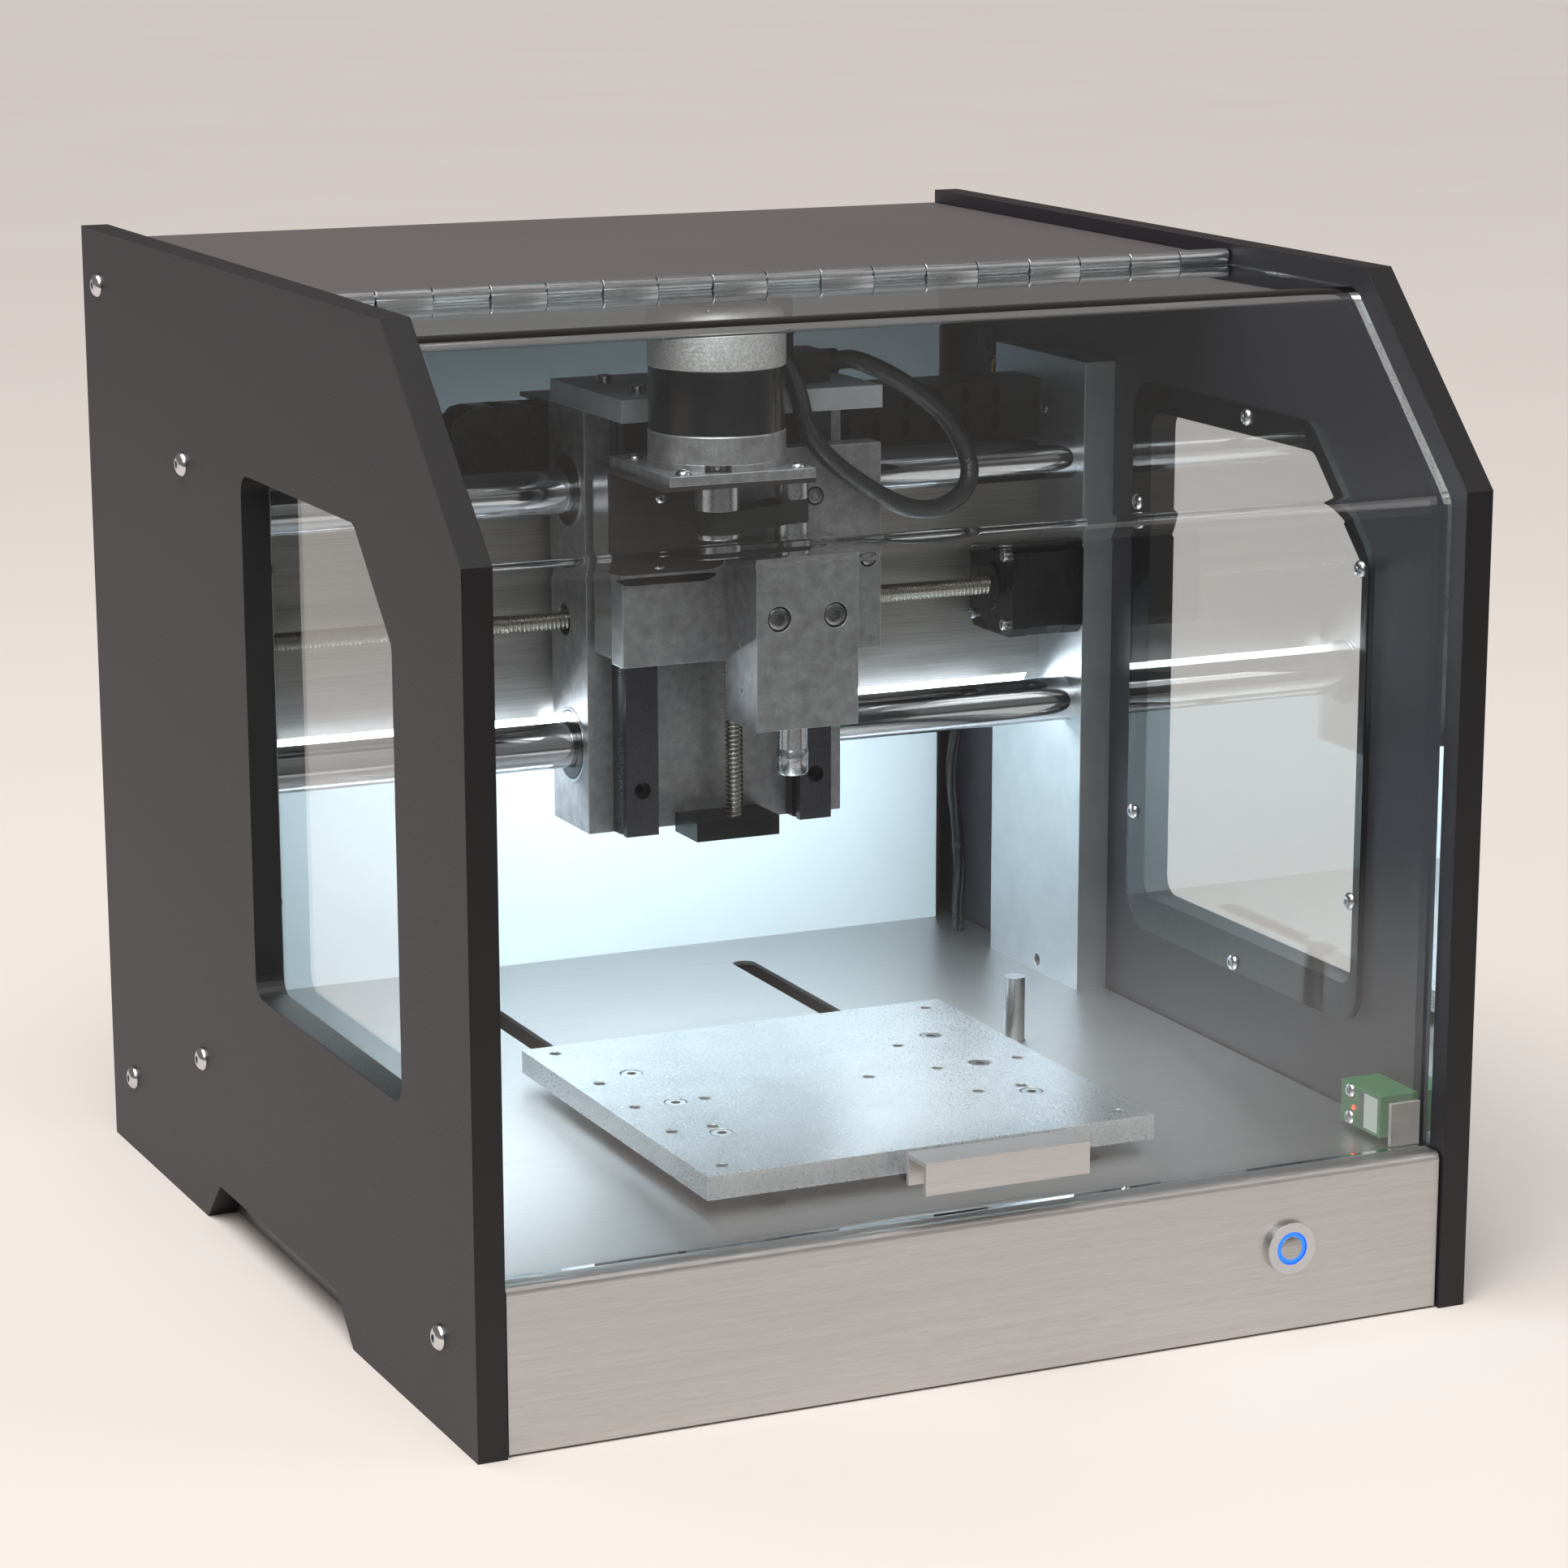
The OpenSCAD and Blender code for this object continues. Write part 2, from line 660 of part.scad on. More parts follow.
module work_table() {
    deep = 5.2;
    taps = concat(
        [for (x = [-0.5, 0.5], y = [-0.5, 0.5]) [x * corner_pitch, y * corner_pitch]],
        [for (y = [-38, 0, 38]) [-corner_pitch / 2, y]], [[corner_pitch / 2, 0]],
        [for (y = [-38, 0, 38]) [50, y]], [[18, 0], [-57, 0], [-70, -38], [70, -38]]);
    color([0.8, 0.81, 0.83]) difference() {
        translate([table_x - table_s / 2, table_y - table_s / 2, table_z])
            cube([table_s, table_s, table_t]);
        for (t = taps) rod_z([table_x + t.x, table_y + t.y, table_z - 1], tap_d / 2, table_t + 2);
        for (s = [-1, 1], y = [-47, 0, 47]) {
            rod_z([s * riser_pitch / 2, table_y + y, table_z - 1], m5_r + 0.25, table_t + 2);
            rod_z([s * riser_pitch / 2, table_y + y, table_z + table_t - deep], 5, deep + 1);
        }
    }
}

module table_screws() {
    color([0.75, 0.75, 0.77]) for (s = [-1, 1], y = [-47, 0, 47])
        translate([s * riser_pitch / 2, table_y + y, 0]) difference() {
            union() {
                rod_z([0, 0, table_z - 12], m5_r, table_t + 12 - 5.2 + eps);
                rod_z([0, 0, table_z + table_t - 5.2], 4.25, 5);
            }
            translate([0, 0, table_z + table_t - 3]) cylinder(r = 2.2, h = 4, $fn = 6);
        }
}

module y_leadscrew() {
    color([0.6, 0.6, 0.62])
        rod_y([table_x, yrail_y0 - 14, yscrew_z], screw_r, ymotor_y - yrail_y0 + 34);
}

// ---------- X axis ----------

module x_leadscrew() {
    color([0.6, 0.6, 0.62])
        rod_x([-upright_x - 6, drive_y, drive_z], screw_r, 2 * upright_x - stepper_l + 26);
}

module carriage_block() {
    x0 = car_x - carriage_w / 2;
    color([0.55, 0.53, 0.53]) difference() {
        box([x0, car_y, car_z], [x0 + carriage_w, car_y + carriage_d, car_top]);
        for (z = [upper_z, lower_z])
            rod_x([x0 - 1, shaft_y, z], bearing_d / 2 + seat, carriage_w + 2);
        rod_x([x0 - 1, drive_y, drive_z], 7 + seat, carriage_w + 2);
    }
}

module linear_bearings() {
    length = 42;
    x0 = car_x - carriage_w / 2;
    color([0.5, 0.5, 0.52]) for (z = [upper_z, lower_z], x = [x0, x0 + carriage_w - length])
        difference() {
            rod_x([x, shaft_y, z], bearing_d / 2, length);
            rod_x([x - 1, shaft_y, z], shaft_d / 2 + run_gap, length + 2);
        }
}

module x_nut() {
    color([0.75, 0.6, 0.3]) difference() {
        rod_x([car_x - 15, drive_y, drive_z], 7, 30);
        rod_x([car_x - 16, drive_y, drive_z], nut_r, 32);
    }
}

module carriage_roof() {
    x0 = car_x - carriage_w / 2;
    color([0.72, 0.74, 0.76]) difference() {
        box([x0, roof_y, car_top], [x0 + carriage_w, roof_y + roof_d, car_top + roof_t]);
        rod_z([zscrew_x, zscrew_y, car_top - 1], 11.2, roof_t + 2);
    }
}

module z_rails() {
    color([0.3, 0.3, 0.31]) for (s = [-1, 1])
        translate([car_x + s * rail_x, car_y, rail_low]) rail(rail_len);
}

module z_stepper() {
    color([0.15, 0.15, 0.16]) translate([zscrew_x, zscrew_y, car_top + roof_t])
        rotate([180, 0, 0]) difference() {
            stepper_body(36);
            stepper_bores(24);
        }
}

module z_screw_bracket() {
    color([0.13, 0.13, 0.14]) difference() {
        box([zscrew_x - 21, zscrew_y - 8, bracket_z], [zscrew_x + 18, car_y, bracket_z + bracket_t]);
        box([car_x - carriage_w / 2, car_y - eps, car_z], [car_x + carriage_w / 2, car_y + 1, car_z + 20]);
        rod_z([zscrew_x, zscrew_y, bracket_z - 1], nut_r, bracket_t + 2);
    }
}

module z_leadscrew() {
    color([0.5, 0.5, 0.52])
        rod_z([zscrew_x, zscrew_y, bracket_z + 1], screw_r, car_top + roof_t + 20 - bracket_z);
}

// Cover behind the carriage: the free run of the drag chain ends under it.
module chain_tray() {
    x0 = car_x - carriage_w / 2;
    top = chain_floor + 2 * chain_t + 3;
    color([0.12, 0.12, 0.13]) {
        box([x0, car_y + carriage_d, top], [x0 + carriage_w, chain_y + chain_w + 2, top + 2]);
        box([x0, car_y + carriage_d, top - 14], [x0 + carriage_w, car_y + carriage_d + 2, top + 2]);
    }
}

// Drag chain: lower run, bend and upper run.
module drag_chain() {
    r = chain_t + 0.75;
    zc = chain_floor + 0.4 + r;
    color([0.1, 0.1, 0.11]) along_y(chain_y, chain_w) polygon(concat(
        [[chain_low_end, zc - r]],
        arc([chain_bend_x, zc], r, 270, 90, 16),
        [[chain_up_end, zc + r], [chain_up_end, zc + 0.75]],
        arc([chain_bend_x, zc], 0.75, 90, 270, 6),
        [[chain_low_end, zc - 0.75]]));
}

module cable_duct() {
    high = 2 * chain_t + 2.4;
    y0 = chain_y - 2.3;
    y1 = chain_y + chain_w + 1.9;
    color([0.12, 0.12, 0.13]) {
        box([-upright_x + 20, y0 + 2, ledge_z], [upright_x, y1, chain_floor]);
        box([duct_x0, y0, ledge_z], [upright_x, y0 + 1.5, ledge_z + high]);
        box([duct_x0, y1 - 1.5, ledge_z], [upright_x, y1, ledge_z + high]);
        box([duct_x0, y0, ledge_z + high - 1.5], [upright_x, y1, ledge_z + high]);
        box([duct_x0, y0, ledge_z], [upright_x, y1, chain_floor]);
    }
}

module cable_gland() {
    z0 = car_top + roof_t;
    color([0.08, 0.08, 0.09]) {
        box([car_x + 24, zscrew_y - 8, z0], [car_x + 44, zscrew_y + 16, z0 + 13]);
        rod_x([car_x + 40, lead_route[0].y, lead_route[0].z], 5.5, lead_route[0].x - car_x - 40);
    }
}

module braided_lead() {
    color([0.07, 0.07, 0.08]) swept(lead_route, lead_r, 10);
}

module wiring_loom() {
    color([0.1, 0.1, 0.11]) swept(loom_route, loom_r, 8);
}

// ---------- Z slide ----------

module slide_plate() {
    x0 = car_x - carriage_w / 2;
    color([0.55, 0.53, 0.53])
        box([x0, slide_y, slide_z], [x0 + carriage_w, slide_back, slide_z + slide_h]);
}

module z_rail_trucks() {
    color([0.5, 0.5, 0.52]) for (s = [-1, 1], z = [slide_z + 1, slide_z + 3 + truck_l])
        translate([car_x + s * rail_x, car_y, z]) truck(4.3, car_y - slide_back);
}

module z_nut() {
    color([0.75, 0.6, 0.3]) difference() {
        box([zscrew_x - 16, slide_back, slide_z + 18], [zscrew_x + 16, zscrew_y + 11, slide_z + 48]);
        rod_z([zscrew_x, zscrew_y, slide_z + 17], nut_r, 32);
    }
}

module spindle_block() {
    x0 = spindle_x - spindle_w / 2;
    color([0.55, 0.53, 0.53]) difference() {
        box([x0, slide_y - spindle_d, spindle_z], [x0 + spindle_w, slide_y, spindle_top]);
        rod_z([spindle_x, spindle_y, spindle_z - 1], quill_d / 2 + run_gap, spindle_h + 2);
        for (s = [-1, 1]) {
            rod_y([spindle_x + s * 13, slide_y - spindle_d - 1, spindle_z + 47.5], m6_r + 0.2, spindle_d + 2);
            rod_y([spindle_x + s * 13, slide_y - spindle_d - 1, spindle_z + 47.5], 5.5, 7.5);
        }
        for (z = [15, 35]) rod_x([x0 - 1, spindle_y, spindle_z + z], 1.25, 7);
    }
}

// Head screws of the spindle block, the slide plate and the motor plate.
module slide_screws() {
    color([0.75, 0.75, 0.77]) {
        for (s = [-1, 1])
            translate([spindle_x + s * 13, slide_y - spindle_d + 0.5, spindle_z + 47.5]) difference() {
                union() {
                    rod_y([0, 0, 0], 5, 6);
                    rod_y([0, 5, 0], m6_r, spindle_d - 5.5);
                }
                rotate([-90, 0, 0]) translate([0, 0, -1]) cylinder(r = 2.9, h = 4, $fn = 6);
            }
        for (x = [-1, 1], y = [-1, 1])
            rod_z([motor_x + x * 25.5, motor_y + 1 + y * 25.5, motor_z], 3.4, 2.6);
    }
}

module motor_bracket() {
    x0 = mount_x0 - 2.5;
    x1 = mount_x0 + 65;
    low = mount_z - 48.5;
    color([0.2, 0.19, 0.19]) difference() {
        union() {
            box([x0, mount_y0, mount_z - bracket_sheet], [x1, slide_y, mount_z]);
            along_y(slide_y - bracket_sheet, bracket_sheet) polygon(concat(
                [[x0, mount_z]], arc([x0 + 9, low + 9], 9, 180, 270, 5),
                arc([spindle_x - spindle_w / 2 - 11, low + 9], 9, 270, 360, 5),
                [[spindle_x - spindle_w / 2 - 2, mount_z]]));
        }
        rod_z([motor_x, motor_y, mount_z - 5], 10, 10);
    }
}

module motor_plate() {
    color([0.55, 0.53, 0.53]) difference() {
        box([mount_x0, mount_y0, mount_z], [mount_x0 + 65, slide_y - 0.2, motor_z]);
        rod_z([motor_x, motor_y, mount_z - 1], 10, mount_t + 2);
    }
}

module spindle_motor() {
    r = motor_d / 2;
    top = motor_z + motor_base_h + motor_mid_h + motor_cap_h;
    lead_end = lead_route[len(lead_route) - 1];
    aim = atan2(lead_end.y - motor_y, lead_end.x - motor_x);
    reach = norm([lead_end.x - motor_x, lead_end.y - motor_y]);
    color([0.7, 0.69, 0.69]) difference() {
        union() {
            translate([motor_x, motor_y, 0]) rotate_extrude() polygon([
                [0, motor_z], [r, motor_z], [r, motor_z + motor_base_h],
                [r - 0.4, motor_z + motor_base_h], [r - 0.4, top - motor_cap_h],
                [r, top - motor_cap_h], [r, top - 4.5], [r - 1.2, top - 1.6],
                [r - 4, top], [0, top]]);
            translate([motor_x, motor_y, lead_end.z]) rotate([0, 90, aim])
                translate([0, 0, r - 4]) cylinder(r = 5.5, h = reach - r + 4 - lead_gap);
        }
        rod_z([motor_x, motor_y, motor_z - 1], 3 + run_gap, 17);
    }
}

module drive_belt() {
    a = [motor_x, motor_y];
    b = [spindle_x, spindle_y];
    color([0.08, 0.08, 0.09]) translate([0, 0, belt_z]) linear_extrude(belt_w) difference() {
        hull() {
            translate(a) circle(r = motor_seat_r + 0.1 + belt_t, $fn = 40);
            translate(b) circle(r = spindle_seat_r + 0.1 + belt_t, $fn = 40);
        }
        hull() {
            translate(a) circle(r = motor_seat_r + 0.1, $fn = 40);
            translate(b) circle(r = spindle_seat_r + 0.1, $fn = 40);
        }
    }
}

// A belt pulley about Z: flanges of radius r_out, seat of radius r_seat, hub above.
module pulley_outline(r_out, r_seat, z0, top) {
    polygon([[0, z0], [r_out, z0], [r_out, belt_z - 0.5], [r_seat, belt_z - 0.5],
             [r_seat, belt_z + belt_w + 0.5], [r_out, belt_z + belt_w + 0.5],
             [r_out, top], [0, top]]);
}

module motor_pulley() {
    color([0.75, 0.75, 0.77]) translate([motor_x, motor_y, 0]) {
        rotate_extrude() pulley_outline(9.25, motor_seat_r, belt_z - 2.5, belt_z + belt_w + 5);
        rod_z([0, 0, belt_z + belt_w + 4], 3, motor_z + 15 - belt_z - belt_w - 4);
    }
}

module spindle_shaft() {
    r = quill_d / 2;
    color([0.75, 0.75, 0.77]) translate([spindle_x, spindle_y, 0]) difference() {
        rotate_extrude() polygon([
            [0, nut_top], [6.6, nut_top], [6.6, spindle_z - 0.5], [r, spindle_z - 0.5],
            [r, spindle_top + 0.6], [7.25, spindle_top + 0.6], [7.25, belt_z - 0.5],
            [spindle_seat_r, belt_z - 0.5], [spindle_seat_r, belt_z + belt_w + 0.5],
            [7.25, belt_z + belt_w + 0.5], [7.25, belt_z + belt_w + 3], [4, belt_z + belt_w + 3],
            [4, belt_z + belt_w + 6], [0, belt_z + belt_w + 6]]);
        translate([0, 0, nut_top - 1]) cylinder(r = tool_d / 2 + 0.3, h = 16);
    }
}

module collet_nut() {
    color([0.78, 0.78, 0.8]) translate([spindle_x, spindle_y, nut_top - nut_h]) difference() {
        rotate_extrude() polygon([[0, 0], [6.2, 0], [7, 0.8], [7, nut_h - 0.5], [6.7, nut_h], [0, nut_h]]);
        translate([0, 0, -1]) cylinder(r = tool_d / 2, h = nut_h + 2);
    }
}

// ---------- controls and electronics ----------

module button_bezel() {
    color([0.75, 0.75, 0.77]) difference() {
        union() {
            rod_y([button_x, button_y - 2.6, button_z], bezel_r, 2.6);
            rod_y([button_x, button_y, button_z], button_hole / 2 - 0.1, 24);
        }
        rod_y([button_x, button_y - 4, button_z], bezel_r - 4, 12);
    }
}

module power_button() {
    color([0.7, 0.7, 0.72]) rod_y([button_x, button_y - 2.4, button_z], bezel_r - 4.3, 7);
}

module door_sensor() {
    color([0.2, 0.45, 0.22]) difference() {
        box([inner_x - 18, lid_y + 13.5, deck_z + 3], [inner_x, lid_y + 43.5, deck_z + 20.6]);
        for (z = [6.6, 18]) rod_x([inner_x - 19, lid_y + 36, deck_z + z - 0.5], 1.7, 30);
    }
}

module probe_housing() {
    color([0.6, 0.61, 0.63]) difference() {
        box([probe_x - 12, probe_y - 12, plate_z], [probe_x + 12, probe_y + 12, deck_z - sheet_t]);
        rod_z([probe_x, probe_y, 38], probe_r + run_gap, 40);
    }
}

module probe_plunger() {
    color([0.7, 0.7, 0.72]) rod_z([probe_x, probe_y, 44], probe_r, deck_z + 29.1 - 44);
}

module control_board() {
    y0 = rear_wall_y - 10;
    color([0.1, 0.35, 0.2]) {
        box([-80, y0, 120], [80, y0 + 1.6, 230]);
        for (x = [-72, 72], z = [128, 222]) rod_y([x, y0 + 1.5, z], 3, 8.5);
        for (x = [-60:30:60]) box([x - 9, y0 - 5, 150], [x + 9, y0 + 0.1, 172]);
        box([-30, y0 - 2, 185], [5, y0 + 0.1, 215]);
    }
}

module power_supply() {
    x1 = -saddle_w / 2 - 6;
    color([0.7, 0.71, 0.73])
        box([x1 - 84, front_y + 75, plate_z], [x1, front_y + 275, plate_z + 38]);
}

module power_inlet() {
    y0 = rear_wall_y + rear_t;
    color([0.08, 0.08, 0.09]) difference() {
        union() {
            box([inlet_x - 17, y0, inlet_z - 13], [inlet_x + 17, y0 + 2, inlet_z + 13]);
            box([inlet_x - 13.8, y0 - 22, inlet_z - 10], [inlet_x + 13.8, y0 + 1, inlet_z + 10]);
        }
        box([inlet_x - 12, y0 - 17, inlet_z - 8], [inlet_x + 12, y0 + 3, inlet_z + 8]);
    }
    color([0.8, 0.75, 0.5]) for (p = [[-7, 1], [0, 4.5], [7, 1]])
        box([inlet_x + p.x - 1, y0 - 18, inlet_z + p.y - 2], [inlet_x + p.x + 1, y0 - 3, inlet_z + p.y + 2]);
}

left_side_panel();
right_side_panel();
top_panel();
rear_panel();
base_pan();
base_plate();
corner_blocks();
panel_screws();
lit_back_panel();
side_windows();
uprights();
cross_plate();
guide_shafts();
drive_steppers();
screw_bearings();
y_rails();
hinge_leaf();
button_bezel();
power_button();
door_sensor();
probe_housing();
probe_plunger();
cable_duct();
wiring_loom();
control_board();
power_supply();
power_inlet();
lid();
lid_handle();
sensor_target();
carriage_block();
carriage_roof();
linear_bearings();
x_nut();
z_rails();
z_stepper();
z_screw_bracket();
chain_tray();
cable_gland();
braided_lead();
drag_chain();
slide_plate();
z_rail_trucks();
z_nut();
spindle_block();
slide_screws();
motor_bracket();
motor_plate();
spindle_motor();
drive_belt();
spindle_shaft();
collet_nut();
motor_pulley();
x_leadscrew();
z_leadscrew();
y_leadscrew();
work_table();
table_screws();
table_saddle();
y_rail_trucks();
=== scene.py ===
"""Looks of the enclosed desktop CNC router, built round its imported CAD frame."""

import math

import bmesh
import bpy
from mathutils import Matrix, Vector


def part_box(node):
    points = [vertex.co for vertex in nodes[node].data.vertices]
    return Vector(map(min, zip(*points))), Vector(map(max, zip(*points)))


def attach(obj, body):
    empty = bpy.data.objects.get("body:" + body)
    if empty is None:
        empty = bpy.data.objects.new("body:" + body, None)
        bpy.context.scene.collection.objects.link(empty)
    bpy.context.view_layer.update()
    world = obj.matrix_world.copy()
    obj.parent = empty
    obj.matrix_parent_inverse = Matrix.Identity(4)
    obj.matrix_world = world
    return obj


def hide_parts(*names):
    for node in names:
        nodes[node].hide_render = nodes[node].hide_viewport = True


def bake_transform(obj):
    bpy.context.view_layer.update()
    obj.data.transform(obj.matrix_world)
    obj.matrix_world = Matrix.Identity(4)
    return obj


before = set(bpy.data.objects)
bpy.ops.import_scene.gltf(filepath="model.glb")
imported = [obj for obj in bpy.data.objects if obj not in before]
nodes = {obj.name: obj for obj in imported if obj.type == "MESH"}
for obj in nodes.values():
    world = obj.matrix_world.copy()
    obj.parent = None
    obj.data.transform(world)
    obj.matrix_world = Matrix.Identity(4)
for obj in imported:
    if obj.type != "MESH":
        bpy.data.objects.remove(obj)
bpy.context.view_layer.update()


def mm(*values):
    """Millimetres to metres."""
    return tuple(v / 1000 for v in values)


# ---------------------------------------------------------------- camera

camera = bpy.data.objects.new("camera", bpy.data.cameras.new("camera"))
bpy.context.scene.collection.objects.link(camera)
bpy.context.scene.camera = camera
camera.location = (-0.7685, -1.7165, 0.6090)
camera.rotation_euler = (
    Vector((0.4087, 0.8791, -0.2451)).to_track_quat("-Z", "Y").to_euler()
)
camera.data.lens = 103.76
camera.data.sensor_width = 36
camera.data.shift_x = -0.0195
camera.data.shift_y = 0.0858
camera.data.clip_end = 30


# ---------------------------------------------------------------- materials


def linear(code, alpha=1.0):
    """An sRGB hex colour as linear light."""
    parts = [int(code[i : i + 2], 16) / 255 for i in (0, 2, 4)]
    return tuple(
        c / 12.92 if c <= 0.04045 else ((c + 0.055) / 1.055) ** 2.4 for c in parts
    ) + (alpha,)


def add(tree, kind, inputs=None, **settings):
    """Adds one node with its settings; an input takes a value or a socket to link."""
    made = tree.nodes.new(kind)
    for key, value in settings.items():
        setattr(made, key, value)
    for key, value in (inputs or {}).items():
        if isinstance(value, bpy.types.NodeSocket):
            tree.links.new(value, made.inputs[key])
        else:
            made.inputs[key].default_value = value
    return made


def begin(name):
    """A new material, its tree, and the object coordinates in metres."""
    material = bpy.data.materials.new(name)
    material.use_nodes = True
    tree = material.node_tree
    tree.nodes.clear()
    return material, tree, add(tree, "ShaderNodeTexCoord").outputs["Object"]


def surface(tree, inputs, **settings):
    """Ends a material in one Principled shader."""
    shader = add(tree, "ShaderNodeBsdfPrincipled", inputs, **settings)
    add(tree, "ShaderNodeOutputMaterial", {"Surface": shader.outputs[0]})
    return shader


def machined(name, light, dark, edge, across, pitch, depth, rough, chamfer, metal=0.92, mottle=14):
    """Metal cut by a tool: lines of one pitch across an axis, cloudy tone, broken edges in a lighter colour
    that is partly bare metal and partly a painted highlight.
    """
    material, tree, at = begin(name)
    # Tool lines: bands across the given axis, a little uneven.
    bent = add(tree, "ShaderNodeTexNoise", {"Vector": at, "Scale": 22, "Detail": 1})
    shifted = add(
        tree,
        "ShaderNodeVectorMath",
        {0: bent.outputs["Color"], "Scale": 0.0012},
        operation="SCALE",
    )
    place = add(tree, "ShaderNodeVectorMath", {0: at, 1: shifted.outputs[0]}, operation="ADD")
    lines = add(
        tree,
        "ShaderNodeTexWave",
        {"Vector": place.outputs[0], "Scale": 0.314 / (pitch / 1000) / 2, "Distortion": 0.6,
         "Detail": 2, "Detail Scale": 1.5},
        bands_direction=across,
    )
    cloud = add(
        tree, "ShaderNodeTexNoise", {"Vector": at, "Scale": 1000 / mottle, "Detail": 5, "Roughness": 0.62}
    )
    grit = add(tree, "ShaderNodeTexNoise", {"Vector": at, "Scale": 1000 / 1.1, "Detail": 3})
    tone = add(
        tree, "ShaderNodeMapRange",
        {"Value": cloud.outputs["Fac"], "From Min": 0.32, "From Max": 0.68},
    )
    fine = add(
        tree, "ShaderNodeMath", {0: tone.outputs[0], 1: grit.outputs["Fac"]}, operation="MULTIPLY"
    )
    lighter_tone = add(tree, "ShaderNodeMath", {0: fine.outputs[0], 1: 1.7}, operation="MULTIPLY", use_clamp=True)
    colour = add(
        tree, "ShaderNodeMix", {0: lighter_tone.outputs[0], 6: linear(dark), 7: linear(light)}, data_type="RGBA"
    )
    # The broken edges of the part take a lighter colour: partly bare metal, partly a painted highlight
    # where they catch the light.
    bevel = add(tree, "ShaderNodeBevel", {"Radius": chamfer / 1000}, samples=4)
    flat = add(tree, "ShaderNodeNewGeometry")
    same = add(
        tree, "ShaderNodeVectorMath", {0: bevel.outputs[0], 1: flat.outputs["True Normal"]},
        operation="DOT_PRODUCT",
    )
    rim = add(
        tree, "ShaderNodeMapRange",
        {"Value": same.outputs["Value"], "From Min": 0.995, "From Max": 0.86},
    )
    bare_edge_and_highlight = add(
        tree, "ShaderNodeMix", {0: rim.outputs[0], 6: colour.outputs[2], 7: linear(edge)}, data_type="RGBA"
    )
    polish = add(
        tree, "ShaderNodeMapRange",
        {"Value": grit.outputs["Fac"], "From Min": 0.3, "From Max": 0.7,
         "To Min": rough - 0.07, "To Max": rough + 0.08},
    )
    height = add(
        tree, "ShaderNodeMath", {0: lines.outputs["Fac"], 1: grit.outputs["Fac"]}, operation="ADD"
    )
    bump = add(
        tree, "ShaderNodeBump",
        {"Height": height.outputs[0], "Distance": depth / 1000, "Strength": 0.5,
         "Normal": bevel.outputs[0]},
    )
    surface(tree, {"Base Color": bare_edge_and_highlight.outputs[2], "Metallic": metal, "Roughness": polish.outputs[0],
                   "Normal": bump.outputs[0]})
    return material


def brushed(name, light, dark, along, grain, rough, chamfer=0.3, metal=1.0):
    """Metal drawn under an abrasive belt: long streaks along one axis, grain in mm across them."""
    material, tree, at = begin(name)
    stretch = [1000 / grain] * 3
    stretch["XYZ".index(along)] = 1000 / (grain * 70)
    long_way = add(tree, "ShaderNodeMapping", {"Vector": at, "Scale": stretch})
    streak = add(tree, "ShaderNodeTexNoise", {"Vector": long_way.outputs[0], "Scale": 1, "Detail": 6,
                                              "Roughness": 0.7})
    wide = [s / 9 for s in stretch]
    slow = add(tree, "ShaderNodeMapping", {"Vector": at, "Scale": wide})
    band = add(tree, "ShaderNodeTexNoise", {"Vector": slow.outputs[0], "Scale": 1, "Detail": 2})
    both = add(tree, "ShaderNodeMix", {0: 0.2, 2: streak.outputs["Fac"], 3: band.outputs["Fac"]})
    tone = add(tree, "ShaderNodeMapRange", {"Value": both.outputs[0], "From Min": 0.34, "From Max": 0.66})
    colour = add(
        tree, "ShaderNodeMix", {0: tone.outputs[0], 6: linear(dark), 7: linear(light)}, data_type="RGBA"
    )
    gloss = add(
        tree, "ShaderNodeMapRange",
        {"Value": streak.outputs["Fac"], "From Min": 0.3, "From Max": 0.7,
         "To Min": rough - 0.09, "To Max": rough + 0.09},
    )
    bevel = add(tree, "ShaderNodeBevel", {"Radius": chamfer / 1000}, samples=4)
    bump = add(
        tree, "ShaderNodeBump",
        {"Height": streak.outputs["Fac"], "Distance": 0.00006, "Strength": 0.55,
         "Normal": bevel.outputs[0]},
    )
    surface(tree, {"Base Color": colour.outputs[2], "Metallic": metal, "Roughness": gloss.outputs[0],
                   "Normal": bump.outputs[0]})
    return material


def turned_steel(name, tint, rough, rings, scratch=0.25):
    """Steel from a lathe or grinder: a very fine even grain, close to a mirror where it is shallow.
    rings is the size of the grain in mm."""
    material, tree, at = begin(name)
    grain = add(tree, "ShaderNodeMapping",
                {"Vector": at, "Scale": (1000 / rings, 1000 / rings, 1000 / rings)})
    fine = add(tree, "ShaderNodeTexNoise", {"Vector": grain.outputs[0], "Scale": 1, "Detail": 4})
    haze = add(tree, "ShaderNodeTexNoise", {"Vector": at, "Scale": 60, "Detail": 3})
    tone = add(
        tree, "ShaderNodeMix",
        {0: haze.outputs["Fac"], 6: linear(tint), 7: tuple(c * 0.82 for c in linear(tint)[:3]) + (1,)},
        data_type="RGBA",
    )
    polish = add(
        tree, "ShaderNodeMapRange",
        {"Value": fine.outputs["Fac"], "From Min": 0.3, "From Max": 0.7,
         "To Min": rough * 0.7, "To Max": rough * 1.4},
    )
    bevel = add(tree, "ShaderNodeBevel", {"Radius": 0.0002}, samples=4)
    bump = add(
        tree, "ShaderNodeBump",
        {"Height": fine.outputs["Fac"], "Distance": 0.00002, "Strength": scratch,
         "Normal": bevel.outputs[0]},
    )
    surface(tree, {"Base Color": tone.outputs[2], "Metallic": 1.0, "Roughness": polish.outputs[0],
                   "Normal": bump.outputs[0]})
    return material


